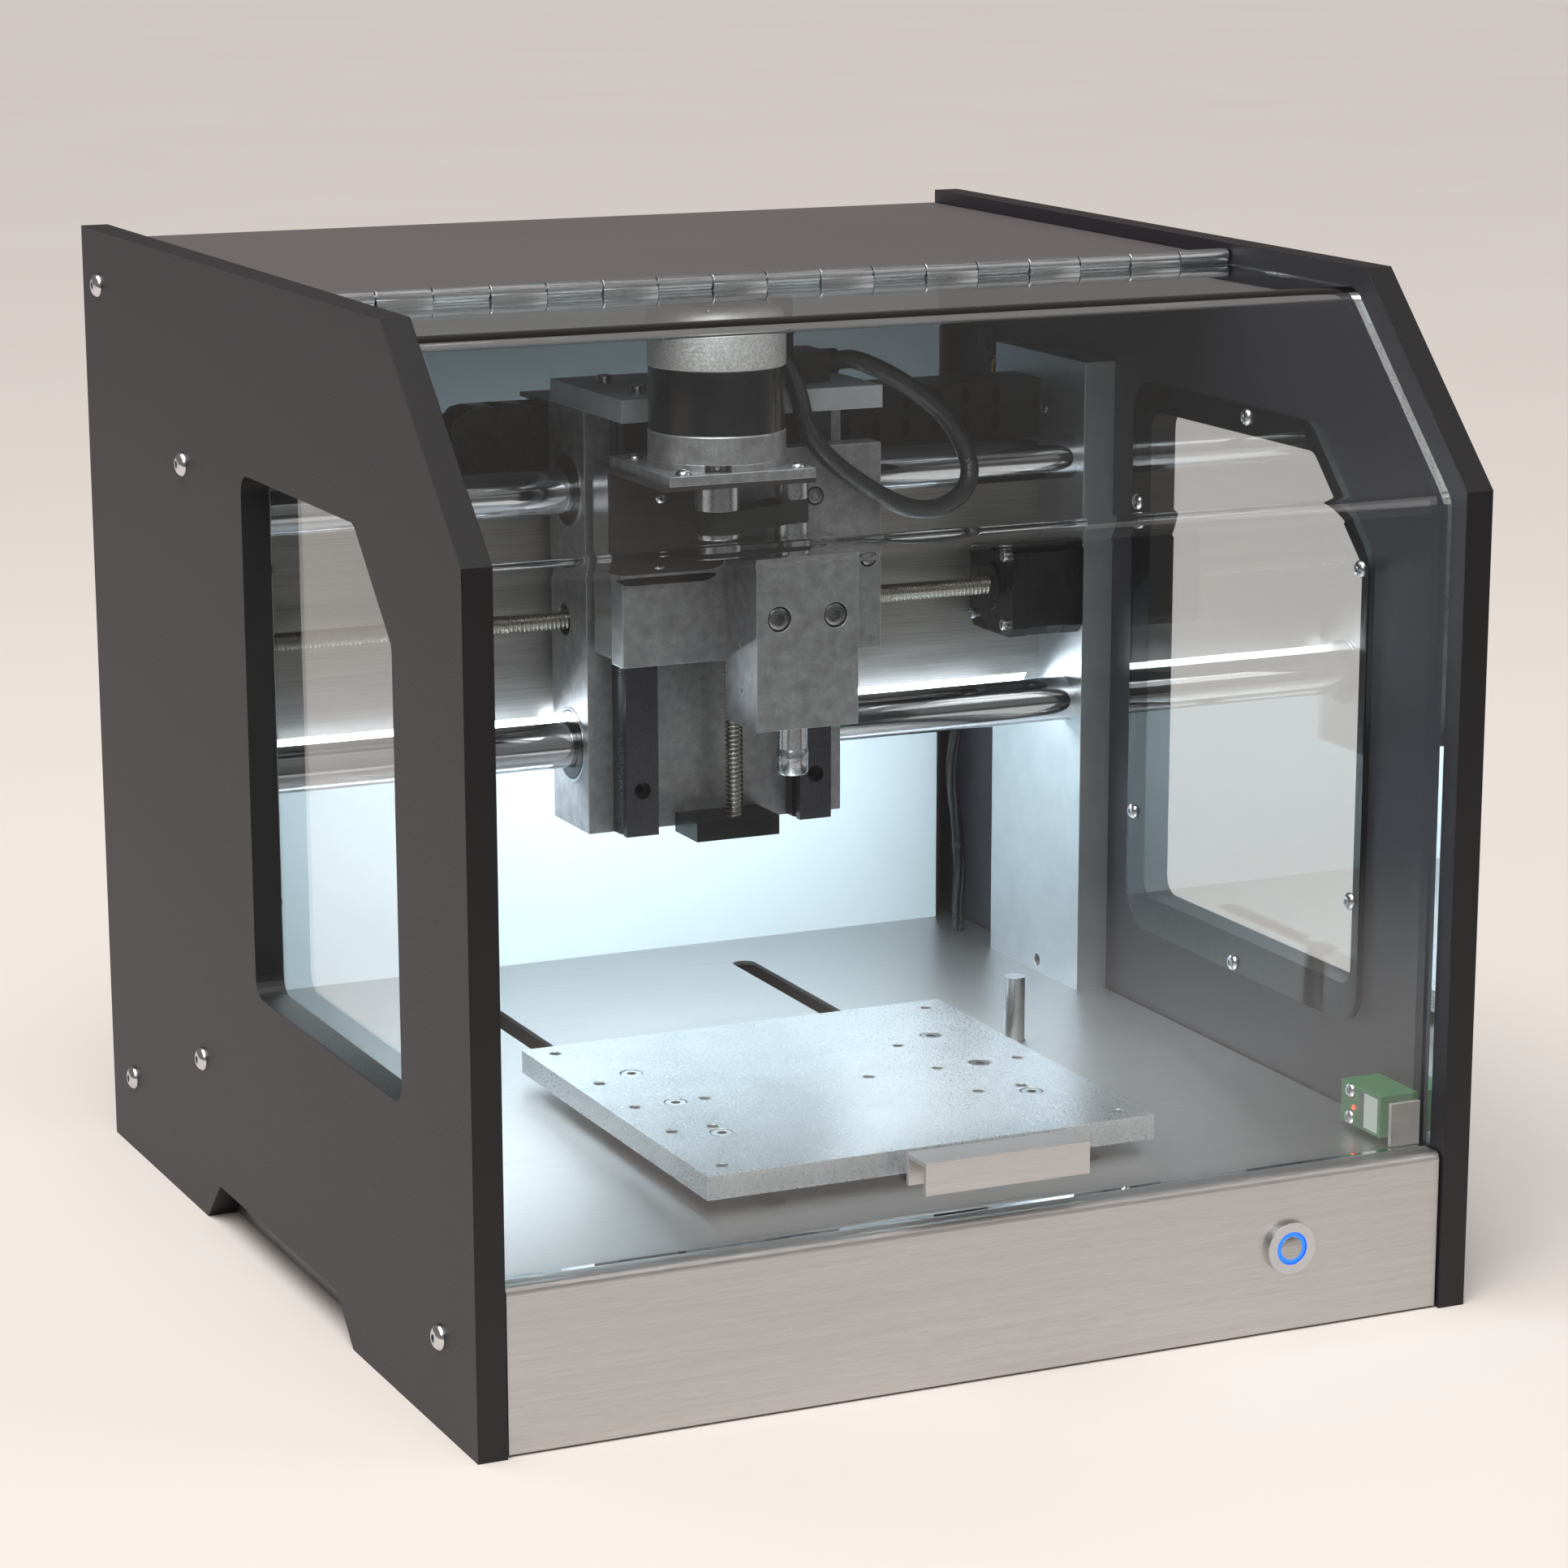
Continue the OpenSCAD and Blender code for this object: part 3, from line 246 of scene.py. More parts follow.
def moulded(name, base, lighter_tone, rough, grain, depth=0.05, chamfer=0.4, coat=0.0, ior=1.5):
    """Moulded or lacquered plastic and paint: eggshell grain in mm, tone that drifts, softened edges in a
    lighter colour that is partly wear and partly a painted highlight.
    """
    material, tree, at = begin(name)
    grit = add(tree, "ShaderNodeTexNoise", {"Vector": at, "Scale": 1000 / grain, "Detail": 3})
    drift = add(tree, "ShaderNodeTexNoise", {"Vector": at, "Scale": 40, "Detail": 4})
    bevel = add(tree, "ShaderNodeBevel", {"Radius": chamfer / 1000}, samples=4)
    flat = add(tree, "ShaderNodeNewGeometry")
    same = add(
        tree, "ShaderNodeVectorMath", {0: bevel.outputs[0], 1: flat.outputs["True Normal"]},
        operation="DOT_PRODUCT",
    )
    # The edges take the lighter colour: partly wear, partly a painted highlight.
    rim = add(
        tree, "ShaderNodeMapRange",
        {"Value": same.outputs["Value"], "From Min": 0.995, "From Max": 0.8, "To Max": 0.6},
    )
    share = add(
        tree, "ShaderNodeMath", {0: drift.outputs["Fac"], 1: 0.35, 2: rim.outputs[0]},
        operation="MULTIPLY_ADD", use_clamp=True,
    )
    colour = add(
        tree, "ShaderNodeMix", {0: share.outputs[0], 6: linear(base), 7: linear(lighter_tone)}, data_type="RGBA"
    )
    polish = add(
        tree, "ShaderNodeMapRange",
        {"Value": drift.outputs["Fac"], "From Min": 0.3, "From Max": 0.7,
         "To Min": rough - 0.06, "To Max": rough + 0.08},
    )
    bump = add(
        tree, "ShaderNodeBump",
        {"Height": grit.outputs["Fac"], "Distance": depth / 1000, "Strength": 0.4,
         "Normal": bevel.outputs[0]},
    )
    surface(tree, {"Base Color": colour.outputs[2], "Roughness": polish.outputs[0], "IOR": ior,
                   "Coat Weight": coat, "Coat Roughness": 0.15, "Normal": bump.outputs[0]})
    return material


def hdpe_sheet(name, face, blush, edge, thin):
    """Charcoal polyethylene sheet, matt with a faint orange peel; its sawn edges are painted near black as
    a painted shade, and carry the cutter's chatter. thin is the axis through the sheet."""
    material, tree, at = begin(name)
    peel = add(tree, "ShaderNodeTexNoise",
               {"Vector": at, "Scale": 1000 / 0.9, "Detail": 3, "Roughness": 0.6})
    cloud = add(tree, "ShaderNodeTexNoise", {"Vector": at, "Scale": 7, "Detail": 4})
    skin = add(
        tree, "ShaderNodeMix", {0: cloud.outputs["Fac"], 6: linear(face), 7: linear(blush)},
        data_type="RGBA"
    )
    # The faces of the sheet are told from its sawn edges by which way they look; the edges get a near-black
    # colour, a painted shade.
    flat = add(tree, "ShaderNodeTexCoord")
    ways = add(tree, "ShaderNodeSeparateXYZ", {0: flat.outputs["Normal"]})
    facing = add(tree, "ShaderNodeMath", {0: ways.outputs[thin]}, operation="ABSOLUTE")
    on_face = add(tree, "ShaderNodeMath", {0: facing.outputs[0], 1: 0.6}, operation="GREATER_THAN")
    chatter = add(
        tree, "ShaderNodeTexWave",
        {"Vector": at, "Scale": 0.314 / 0.0009 / 2, "Distortion": 3, "Detail": 3, "Detail Roughness": 0.7},
        bands_direction="Z",
    )
    saw = add(
        tree, "ShaderNodeMapRange", {"Value": chatter.outputs["Fac"], "To Min": 0.0, "To Max": 0.12}
    )
    cut = add(
        tree, "ShaderNodeMix", {0: saw.outputs[0], 6: linear(edge), 7: linear(face)}, data_type="RGBA"
    )
    colour = add(
        tree, "ShaderNodeMix",
        {0: on_face.outputs[0], 6: cut.outputs[2], 7: skin.outputs[2]}, data_type="RGBA",
    )
    bevel = add(tree, "ShaderNodeBevel", {"Radius": 0.0005}, samples=4)
    height = add(
        tree, "ShaderNodeMix", {0: on_face.outputs[0], 2: chatter.outputs["Fac"], 3: peel.outputs["Fac"]}
    )
    bump = add(
        tree, "ShaderNodeBump",
        {"Height": height.outputs[0], "Distance": 0.00002, "Strength": 0.15, "Normal": bevel.outputs[0]},
    )
    polish = add(
        tree, "ShaderNodeMapRange",
        {"Value": peel.outputs["Fac"], "From Min": 0.3, "From Max": 0.7, "To Min": 0.46, "To Max": 0.58},
    )
    surface(tree, {"Base Color": colour.outputs[2], "Roughness": polish.outputs[0], "IOR": 1.54,
                   "Specular IOR Level": 0.42, "Normal": bump.outputs[0]})
    return material


def clear_sheet(name, tint, haze):
    """Clear polycarbonate, drawn as glass of its index with the faint waviness of a bent sheet.
    Lamps and soft light pass straight through, so what is inside stays lit."""
    material, tree, at = begin(name)
    wave = add(tree, "ShaderNodeTexNoise", {"Vector": at, "Scale": 14, "Detail": 2})
    wipe = add(tree, "ShaderNodeTexNoise", {"Vector": at, "Scale": 90, "Detail": 5, "Roughness": 0.7})
    bump = add(
        tree, "ShaderNodeBump", {"Height": wave.outputs["Fac"], "Distance": 0.0004, "Strength": 0.06}
    )
    polish = add(
        tree, "ShaderNodeMapRange",
        {"Value": wipe.outputs["Fac"], "From Min": 0.45, "From Max": 0.75, "To Min": 0.0, "To Max": haze},
    )
    glass = add(
        tree, "ShaderNodeBsdfPrincipled",
        {"Base Color": linear(tint), "Roughness": polish.outputs[0], "IOR": 1.58,
         "Transmission Weight": 1.0, "Normal": bump.outputs[0]},
    )
    through = add(tree, "ShaderNodeBsdfTransparent", {"Color": linear(tint)})
    ray = add(tree, "ShaderNodeLightPath")
    soft_ray = add(
        tree, "ShaderNodeMath",
        {0: ray.outputs["Is Shadow Ray"], 1: ray.outputs["Is Diffuse Ray"]}, operation="MAXIMUM",
    )
    both = add(
        tree, "ShaderNodeMixShader", {0: soft_ray.outputs[0], 1: glass.outputs[0], 2: through.outputs[0]}
    )
    add(tree, "ShaderNodeOutputMaterial", {"Surface": both.outputs[0]})
    return material


def lit_acrylic(name, colour, deep, strength):
    """Opal acrylic: milky, with a faint cloudy painted glow, an emission of its own that stands in for the
    light of the lamp strip.
    """
    material, tree, at = begin(name)
    cloud = add(tree, "ShaderNodeTexNoise", {"Vector": at, "Scale": 5, "Detail": 2})
    # Painted glow: the panel emits light of its own, though the strip's lamps are what light it.
    glow = add(
        tree, "ShaderNodeMapRange",
        {"Value": cloud.outputs["Fac"], "From Min": 0.3, "From Max": 0.7,
         "To Min": strength * 0.93, "To Max": strength * 1.07},
    )
    shade = add(
        tree, "ShaderNodeMix", {0: cloud.outputs["Fac"], 6: linear(colour), 7: linear(deep)},
        data_type="RGBA"
    )
    surface(tree, {"Base Color": shade.outputs[2], "Roughness": 0.25, "Emission Color": linear(colour),
                   "Emission Strength": glow.outputs[0], "IOR": 1.49})
    return material


def lamp(name, colour, strength):
    """A small lit lens, its glow a little grainy."""
    material, tree, at = begin(name)
    grain = add(tree, "ShaderNodeTexNoise", {"Vector": at, "Scale": 900, "Detail": 2})
    glow = add(
        tree, "ShaderNodeMapRange",
        {"Value": grain.outputs["Fac"], "To Min": strength * 0.6, "To Max": strength * 1.4}
    )
    surface(tree, {"Base Color": linear(colour), "Roughness": 0.3, "Emission Color": linear(colour),
                   "Emission Strength": glow.outputs[0]})
    return material


def woven_sleeve(name, base, shine):
    """Braided polyester sleeve: black monofilament, painted lighter where a strand crests as a painted
    glint.
    The strands themselves are in the mesh; this reads their height from the sleeve's attribute."""
    material, tree, at = begin(name)
    crest = add(tree, "ShaderNodeAttribute", attribute_name="crest")
    fibre = add(tree, "ShaderNodeTexNoise", {"Vector": at, "Scale": 2600, "Detail": 2})
    mixed = add(
        tree, "ShaderNodeMath", {0: crest.outputs["Fac"], 1: fibre.outputs["Fac"]}, operation="MULTIPLY"
    )
    # Painted glint: a lighter colour on the crests of the strands.
    colour = add(
        tree, "ShaderNodeMix", {0: mixed.outputs[0], 6: linear(base), 7: linear(shine)}, data_type="RGBA"
    )
    surface(tree, {"Base Color": colour.outputs[2], "Roughness": 0.3, "IOR": 1.57})
    return material


def circuit_board(name):
    """Green solder mask over copper tracks."""
    material, tree, at = begin(name)
    cells = add(tree, "ShaderNodeTexVoronoi", {"Vector": at, "Scale": 260}, feature="DISTANCE_TO_EDGE",
                distance="EUCLIDEAN")
    track = add(tree, "ShaderNodeMapRange", {"Value": cells.outputs[0], "From Min": 0.03, "From Max": 0.07})
    colour = add(
        tree, "ShaderNodeMix", {0: track.outputs[0], 6: linear("3f8f4a"), 7: linear("12502a")},
        data_type="RGBA"
    )
    surface(tree, {"Base Color": colour.outputs[2], "Roughness": 0.35})
    return material


def pale_floor(name):
    """A pale studio floor. It is not plain: beyond 0.55 m in front of the origin it runs into a painted
    shade, so that the clear lid has nothing bright to mirror."""
    material, tree, at = begin(name)
    cloud = add(tree, "ShaderNodeTexNoise", {"Vector": at, "Scale": 2.0, "Detail": 3})
    colour = add(
        tree, "ShaderNodeMix", {0: cloud.outputs["Fac"], 6: linear("d9d3cf"), 7: linear("dfdad6")},
        data_type="RGBA",
    )
    # Painted shade: the floor turns dark in front of the machine.
    place = add(tree, "ShaderNodeSeparateXYZ", {0: at})
    shade = add(tree, "ShaderNodeMapRange",
                {"Value": place.outputs["Y"], "From Min": -0.55, "From Max": -1.0},
                interpolation_type="SMOOTHSTEP")
    shaded = add(
        tree, "ShaderNodeMix", {0: shade.outputs[0], 6: colour.outputs[2], 7: linear("343231")},
        data_type="RGBA"
    )
    surface(tree, {"Base Color": shaded.outputs[2], "Roughness": 0.75})
    return material


hdpe_side = hdpe_sheet("charcoal_hdpe_sheet", "25232a", "222027", "0f0f10", 0)
hdpe_top = hdpe_sheet("warm_grey_top_sheet", "5b5558", "545052", "1c1a1b", 2)
coated_steel = moulded("powder_coated_steel", "2b2a2c", "4a4a4c", 0.5, 0.8, 0.08)
brushed_pan = brushed("brushed_stainless", "cfcecd", "b4b2b1", "X", 0.16, 0.36)
brushed_beam = brushed("brushed_aluminium_beam", "b9b6b3", "97938f", "X", 0.5, 0.42, metal=0.95)
base_alloy = machined("cast_tooling_plate", "9a9c9f", "7e8083", "c8cacc", "X", 2.0, 0.02, 0.42, 0.4)
milled_table = machined("milled_aluminium_table", "dfe2e5", "cdd0d3", "ffffff", "X", 1.1, 0.015, 0.3, 0.5,
                        mottle=40)
milled_upright = machined("milled_aluminium_upright", "c9cdd0", "bec2c6", "f4f6f8", "Z", 1.6, 0.01, 0.4,
                          0.5)
roof_plate = machined("etched_aluminium_roof", "c9cdd0", "b6babd", "f4f6f8", "Y", 1.6, 0.01, 0.5, 0.5, 0.45)
mill_block = machined("mill_finish_block", "b2b0b1", "918f91", "e4e4e6", "Z", 1.4, 0.01, 0.44, 0.5, 0.8, 6)
blasted_cap = machined("bead_blasted_aluminium", "dedcdb", "bcb9b7", "f4f3f2", "Z", 0.9, 0.03, 0.5, 0.5,
                       0.7, 1.1)
handle_alloy = brushed("clear_anodised_handle", "d6d4d3", "bfbcbb", "X", 0.25, 0.4, metal=0.8)
target_steel = machined("sheet_steel_target", "b5afaa", "a09a96", "d8d4d0", "Z", 2.0, 0.01, 0.5, 0.3, 0.4)
hinge_alloy = brushed("drawn_hinge_aluminium", "d5d9dc", "aeb3b7", "X", 0.3, 0.3)
polished_shaft = turned_steel("ground_hard_chrome_shaft", "dfe0e4", 0.07, 0.3, 0.1)
turned_bright = turned_steel("turned_bright_steel", "cfd0d3", 0.24, 0.25)
screw_chrome = turned_steel("nickel_plated_screw", "dadbdd", 0.16, 0.2)
screw_dark = turned_steel("oiled_steel_cap_screw", "a2a2a4", 0.2, 0.2)
thread_steel = turned_steel("rolled_stainless_thread", "b9b5ac", 0.22, 0.15)
rail_steel = turned_steel("dark_hardened_rail", "55555a", 0.28, 0.4)
bronze = turned_steel("bearing_bronze", "b08a4c", 0.3, 0.3)
black_anodised = brushed("black_anodised_aluminium", "2c2b2c", "1c1b1c", "X", 0.4, 0.35, metal=0.6)
grey_bracket = brushed("dark_bracket_steel", "4a4645", "363332", "X", 0.4, 0.4, metal=0.5)
black_lacquer = moulded("black_motor_lacquer", "08080a", "1c1c1f", 0.28, 1.2, 0.02, coat=0.15)
black_nylon = moulded("black_chain_nylon", "0b0b0d", "202124", 0.4, 0.7, 0.04)
black_rubber = moulded("black_heat_shrink", "0c0c0e", "232326", 0.3, 1.6, 0.05, 0.8)
belt_rubber = moulded("neoprene_belt", "151515", "2c2c2c", 0.7, 0.5, 0.08)
green_abs = moulded("green_sensor_case", "2f6b3c", "4b8a55", 0.38, 0.9, 0.05, 0.6, 0.2)
white_nylon = moulded("white_terminal_nylon", "cfd6d2", "ffffff", 0.45, 0.7, 0.05)
red_wire = moulded("red_wire_insulation", "b01d1d", "d8453c", 0.35, 0.6)
yellow_wire = moulded("yellow_wire_insulation", "c9a227", "e0c058", 0.35, 0.6)
pale_label = moulded("printed_label", "b9bdb8", "d6d9d4", 0.4, 0.8)
dark_disc = moulded("dark_motor_label", "33343b", "4a4b52", 0.35, 0.8)
# Near black: a painted shade for the inside of holes.
painted_hole_shade = moulded("shaded_hole", "0a0a0b", "121213", 0.8, 0.8)
clear_lid = clear_sheet("clear_polycarbonate_lid", "f6fafb", 0.008)
clear_pane = clear_sheet("clear_polycarbonate_pane", "e4e8e8", 0.01)
opal_light = lit_acrylic("opal_acrylic_panel", "e2f3fa", "eef8fc", 0.03)
blue_lamp = lamp("blue_led_ring", "1660ff", 1.5)
strip_lamp = lamp("white_led", "e8f6ff", 6)
button_steel = brushed("brushed_button_cap", "c9c7c6", "989696", "X", 0.2, 0.3)
grey_print = moulded("dark_printed_plate", "4a5450", "6a736f", 0.4, 0.8)
red_lamp = lamp("red_led", "ff3a1f", 4)
braid = woven_sleeve("braided_polyester_sleeve", "060607", "3c3f44")
board_green = circuit_board("solder_mask")

finishes = {
    hdpe_side: "left_side_panel right_side_panel",
    hdpe_top: "top_panel",
    coated_steel: "rear_panel",
    brushed_pan: "base_pan",
    base_alloy: "base_plate power_supply probe_housing",
    milled_table: "work_table",
    milled_upright: "uprights corner_blocks table_saddle",
    roof_plate: "carriage_roof",
    brushed_beam: "cross_plate",
    mill_block: "carriage_block slide_plate spindle_block motor_plate",
    handle_alloy: "lid_handle",
    target_steel: "sensor_target",
    hinge_alloy: "hinge_leaf",
    opal_light: "lit_back_panel",
    clear_pane: "side_windows",
    polished_shaft: "guide_shafts",
    black_lacquer: "drive_steppers z_stepper",
    turned_bright: "screw_bearings y_rail_trucks z_rail_trucks linear_bearings probe_plunger button_bezel "
                   "spindle_shaft collet_nut motor_pulley",
    rail_steel: "y_rails z_rails",
    black_anodised: "z_screw_bracket",
    grey_bracket: "motor_bracket",
    screw_dark: "slide_screws",
    screw_chrome: "table_screws panel_screws power_button",
    green_abs: "door_sensor",
    black_nylon: "cable_duct chain_tray power_inlet drag_chain wiring_loom",
    black_rubber: "cable_gland",
    braid: "braided_lead",
    board_green: "control_board",
    bronze: "x_nut z_nut",
    thread_steel: "x_leadscrew y_leadscrew z_leadscrew",
    belt_rubber: "drive_belt",
    blasted_cap: "spindle_motor",
    clear_lid: "lid",
}
for finish_used, members in finishes.items():
    for member in members.split():
        nodes[member].data.materials.clear()
        nodes[member].data.materials.append(finish_used)


# ---------------------------------------------------------------- mesh helpers


def piece(name, verts, faces, finish_used, body, slot, smooth=False, sharp=35, scale=0.001):
    """A mesh object at the origin from points in mm, riding on a body."""
    mesh = bpy.data.meshes.new(name)
    mesh.from_pydata([tuple(c * scale for c in v) for v in verts], [], faces)
    mesh.update()
    return settle(name, mesh, finish_used, body, smooth, sharp)


def settle(name, mesh, finish_used, body, smooth=False, sharp=35):
    """Gives a mesh its finish, shading and body."""
    made = bpy.data.objects.new(name, mesh)
    bpy.context.scene.collection.objects.link(made)
    if finish_used is not None:
        mesh.materials.clear()
        mesh.materials.append(finish_used)
    if smooth:
        for p in mesh.polygons:
            p.use_smooth = True
        mesh.set_sharp_from_angle(angle=math.radians(sharp))
    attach(made, body)
    return made


def joined(*parts):
    """Several (verts, faces) lists as one."""
    verts, faces = [], []
    for v, f in parts:
        base = len(verts)
        verts += v
        faces += [[i + base for i in one] for one in f]
    return verts, faces


def slab(low, high, cut=0.0):
    """A box from corner to corner in mm, its edges cut back by a bevel."""
    bm = bmesh.new()
    bmesh.ops.create_cube(bm, size=1)
    for v in bm.verts:
        v.co = Vector([low[i] + (v.co[i] + 0.5) * (high[i] - low[i]) for i in range(3)])
    if cut:
        bmesh.ops.bevel(bm, geom=bm.edges[:], offset=cut, segments=2, affect="EDGES", profile=0.5)
    bmesh.ops.recalc_face_normals(bm, faces=bm.faces[:])
    bm.verts.index_update()
    verts = [tuple(v.co) for v in bm.verts]
    faces = [[v.index for v in f.verts] for f in bm.faces]
    bm.free()
    return verts, faces


def lathe(profile, centre=(0, 0, 0), axis="Z", sides=40, ring=False):
    """A closed turned solid from (radius, height) points, about an axis through centre.
    A ring's profile is a loop, with the bore's points last."""
    verts, faces = [], []
    turn = {"Z": lambda x, y, z: (x, y, z), "X": lambda x, y, z: (z, x, y), "Y": lambda x, y,
            z: (y, z, x)}[axis]
    for r, h in profile:
        for k in range(sides):
            a = 2 * math.pi * k / sides
            p = turn(r * math.cos(a), r * math.sin(a), h)
            verts.append(tuple(p[i] + centre[i] for i in range(3)))
    for i in range(len(profile) - (0 if ring else 1)):
        for k in range(sides):
            m, j = (k + 1) % sides, (i + 1) % len(profile)
            faces.append([i * sides + k, i * sides + m, j * sides + m, j * sides + k])
    if not ring:
        faces.append(list(range(sides))[::-1])
        faces.append([(len(profile) - 1) * sides + k for k in range(sides)])
    return verts, faces


def outline(points, low, high, axis):
    """A flat outline in mm drawn out along an axis from low to high."""
    put = {"X": lambda u, v, w: (w, u, v), "Y": lambda u, v, w: (u, w, v), "Z": lambda u, v,
           w: (u, v, w)}[axis]
    n = len(points)
    area = sum(points[i][0] * points[(i + 1) % n][1] - points[(i + 1) % n][0] * points[i][1]
               for i in range(n))
    if (area > 0) == (axis == "Y"):
        points = points[::-1]
    verts = [put(u, v, low) for u, v in points] + [put(u, v, high) for u, v in points]
    faces = [list(range(n))[::-1], [n + i for i in range(n)]]
    faces += [[i, (i + 1) % n, n + (i + 1) % n, n + i] for i in range(n)]
    return verts, faces


def smooth_route(points, step):
    """A Catmull-Rom curve through points in mm, sampled every step mm."""
    pts = [Vector(p) for p in points]
    pts = [2 * pts[0] - pts[1]] + pts + [2 * pts[-1] - pts[-2]]
    fine = []
    for i in range(1, len(pts) - 2):
        a, b, c, d = pts[i - 1 : i + 3]
        for k in range(12):
            s = k / 12
            fine.append(0.5 * (2 * b + (c - a) * s + (2 * a - 5 * b + 4 * c - d) * s * s
                               + (3 * b - a - 3 * c + d) * s ** 3))
    fine.append(pts[-2])
    total = sum((fine[i + 1] - fine[i]).length for i in range(len(fine) - 1))
    count = max(2, round(total / step))
    out, walked, i = [fine[0]], 0.0, 0
    for n in range(1, count):
        goal = total * n / count
        while walked + (fine[i + 1] - fine[i]).length < goal:
            walked += (fine[i + 1] - fine[i]).length
            i += 1
        part = (goal - walked) / (fine[i + 1] - fine[i]).length
        out.append(fine[i].lerp(fine[i + 1], part))
    out.append(fine[-1])
    return out, total


def tube(route, radius, sides, relief=None):
    """A tube along a route of points in mm; relief(turns, length) raises its wall.
    Also gives the relief."""
    verts, faces, crest, length = [], [], [], 0.0
    side = Vector((0, 1, 0.01))
    for i, p in enumerate(route):
        ahead = (route[min(i + 1, len(route) - 1)] - route[max(i - 1, 0)]).normalized()
        side = (side - ahead * side.dot(ahead)).normalized()
        up = ahead.cross(side)
        if i:
            length += (p - route[i - 1]).length
        for k in range(sides):
            a = 2 * math.pi * k / sides
            rise = relief(k / sides, length) if relief else 0.0
            crest.append(rise)
            verts.append(tuple(p + (radius + rise) * (math.cos(a) * side + math.sin(a) * up)))
    for i in range(len(route) - 1):
        for k in range(sides):
            m = (k + 1) % sides
            faces.append([i * sides + k, i * sides + m, (i + 1) * sides + m, (i + 1) * sides + k])
    last = (len(route) - 1) * sides
    faces.append(list(range(sides))[::-1])
    faces.append([last + k for k in range(sides)])
    return verts, faces, crest


# ---------------------------------------------------------------- braided lead

lead_points = [
    (57, 40, 364), (66, 40, 364), (78, 37, 359), (91, 34, 351), (103, 31, 341), (111, 28, 329),
    (114, 24, 316), (108, 19, 307), (94, 13, 302), (78, 8, 303.5), (63, 5, 310), (50, 4, 318),
    (38, 3, 327), (30, 3, 336), (26, 4, 345), (24, 5, 354), (22, 8, 363), (18, 12, 371),
    (12, 12.5, 375.5), (6, 7.4, 376), (1.3, 3.4, 376)]


def braid_relief(turn, length):
    """Height of a two-over-two braid of twelve strands, in mm."""
    a, b = turn * 12 + length / 2.6, turn * 12 - length / 2.6
    over = (math.floor(a / 2) + math.floor(b / 2)) % 2 == 0
    ridge = abs(math.sin(math.pi * (a if over else b)))
    return 0.42 * ridge ** 0.6 - 0.1


lead_line, lead_length = smooth_route(lead_points, 0.62)
lead_verts, lead_faces, lead_crest = tube(lead_line, 3.75, 48, braid_relief)
sleeve = bpy.data.objects.new("lead_sleeve", bpy.data.meshes.new("lead_sleeve"))
bpy.context.scene.collection.objects.link(sleeve)
sleeve.data.from_pydata([mm(*v) for v in lead_verts], [], lead_faces)
sleeve.data.materials.append(braid)
crest_store = sleeve.data.attributes.new("crest", "FLOAT", "POINT")
crest_store.data.foreach_set("value", [min(1.0, max(0.0, (c + 0.1) / 0.42)) for c in lead_crest])
for face in sleeve.data.polygons:
    face.use_smooth = True
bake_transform(sleeve)
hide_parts("braided_lead")


# ---------------------------------------------------------------- repeated parts, by geometry nodes


def tree_of(name, inputs):
    """An empty geometry tree with named inputs. Returns it, its input node and its output node."""
    made = bpy.data.node_groups.new(name, "GeometryNodeTree")
    for label, kind, value in inputs:
        socket = made.interface.new_socket(name=label, in_out="INPUT", socket_type=kind)
        if value is not None:
            socket.default_value = value
    made.interface.new_socket(name="Geometry", in_out="OUTPUT", socket_type="NodeSocketGeometry")
    return made, made.nodes.new("NodeGroupInput"), made.nodes.new("NodeGroupOutput")


def grown(name, grow, base, values):
    """Runs a tree on a base mesh and returns the plain mesh."""
    host = bpy.data.objects.new(name + "_host", base or bpy.data.meshes.new(name + "_base"))
    bpy.context.scene.collection.objects.link(host)
    modifier = host.modifiers.new("grow", "NODES")
    modifier.node_group = grow
    for item in grow.interface.items_tree:
        if item.in_out == "INPUT" and item.name in values:
            modifier[item.identifier] = values[item.name]
    result = bpy.data.meshes.new_from_object(host.evaluated_get(bpy.context.evaluated_depsgraph_get()))
    result.name = name
    bpy.data.objects.remove(host)
    return result


# A rolled trapezoidal thread: a grid wrapped round the X axis, its radius raised along a helix.
thread_tree, given, given_out = tree_of("leadscrew_thread", [
    ("Length", "NodeSocketFloat", 0.3), ("Crest radius", "NodeSocketFloat", 0.004),
    ("Root radius", "NodeSocketFloat", 0.0032), ("Pitch", "NodeSocketFloat", 0.002),
    ("Starts", "NodeSocketInt", 2), ("Sides", "NodeSocketInt", 20), ("Rings", "NodeSocketInt", 1000),
    ("Finish", "NodeSocketMaterial", None)])
grid = add(thread_tree, "GeometryNodeMeshGrid", {
    "Size X": given.outputs["Length"], "Size Y": 1.0,
    "Vertices X": given.outputs["Rings"], "Vertices Y": given.outputs["Sides"]})
where = add(thread_tree, "ShaderNodeSeparateXYZ",
            {0: add(thread_tree, "GeometryNodeInputPosition").outputs[0]})
turns = add(thread_tree, "ShaderNodeMath", {0: where.outputs["Y"], 1: 0.5}, operation="ADD")
angle = add(thread_tree, "ShaderNodeMath", {0: turns.outputs[0], 1: 2 * math.pi}, operation="MULTIPLY")
along = add(thread_tree, "ShaderNodeMath", {0: where.outputs["X"], 1: given.outputs["Pitch"]},
            operation="DIVIDE")
helix = add(thread_tree, "ShaderNodeMath", {0: turns.outputs[0], 1: given.outputs["Starts"]},
            operation="MULTIPLY")
phase = add(thread_tree, "ShaderNodeMath", {0: along.outputs[0], 1: helix.outputs[0]}, operation="SUBTRACT")
saw = add(thread_tree, "ShaderNodeMath", {0: phase.outputs[0], 1: 0.5}, operation="PINGPONG")
flank = add(thread_tree, "ShaderNodeMapRange",
            {"Value": saw.outputs[0], "From Min": 0.13, "From Max": 0.30})
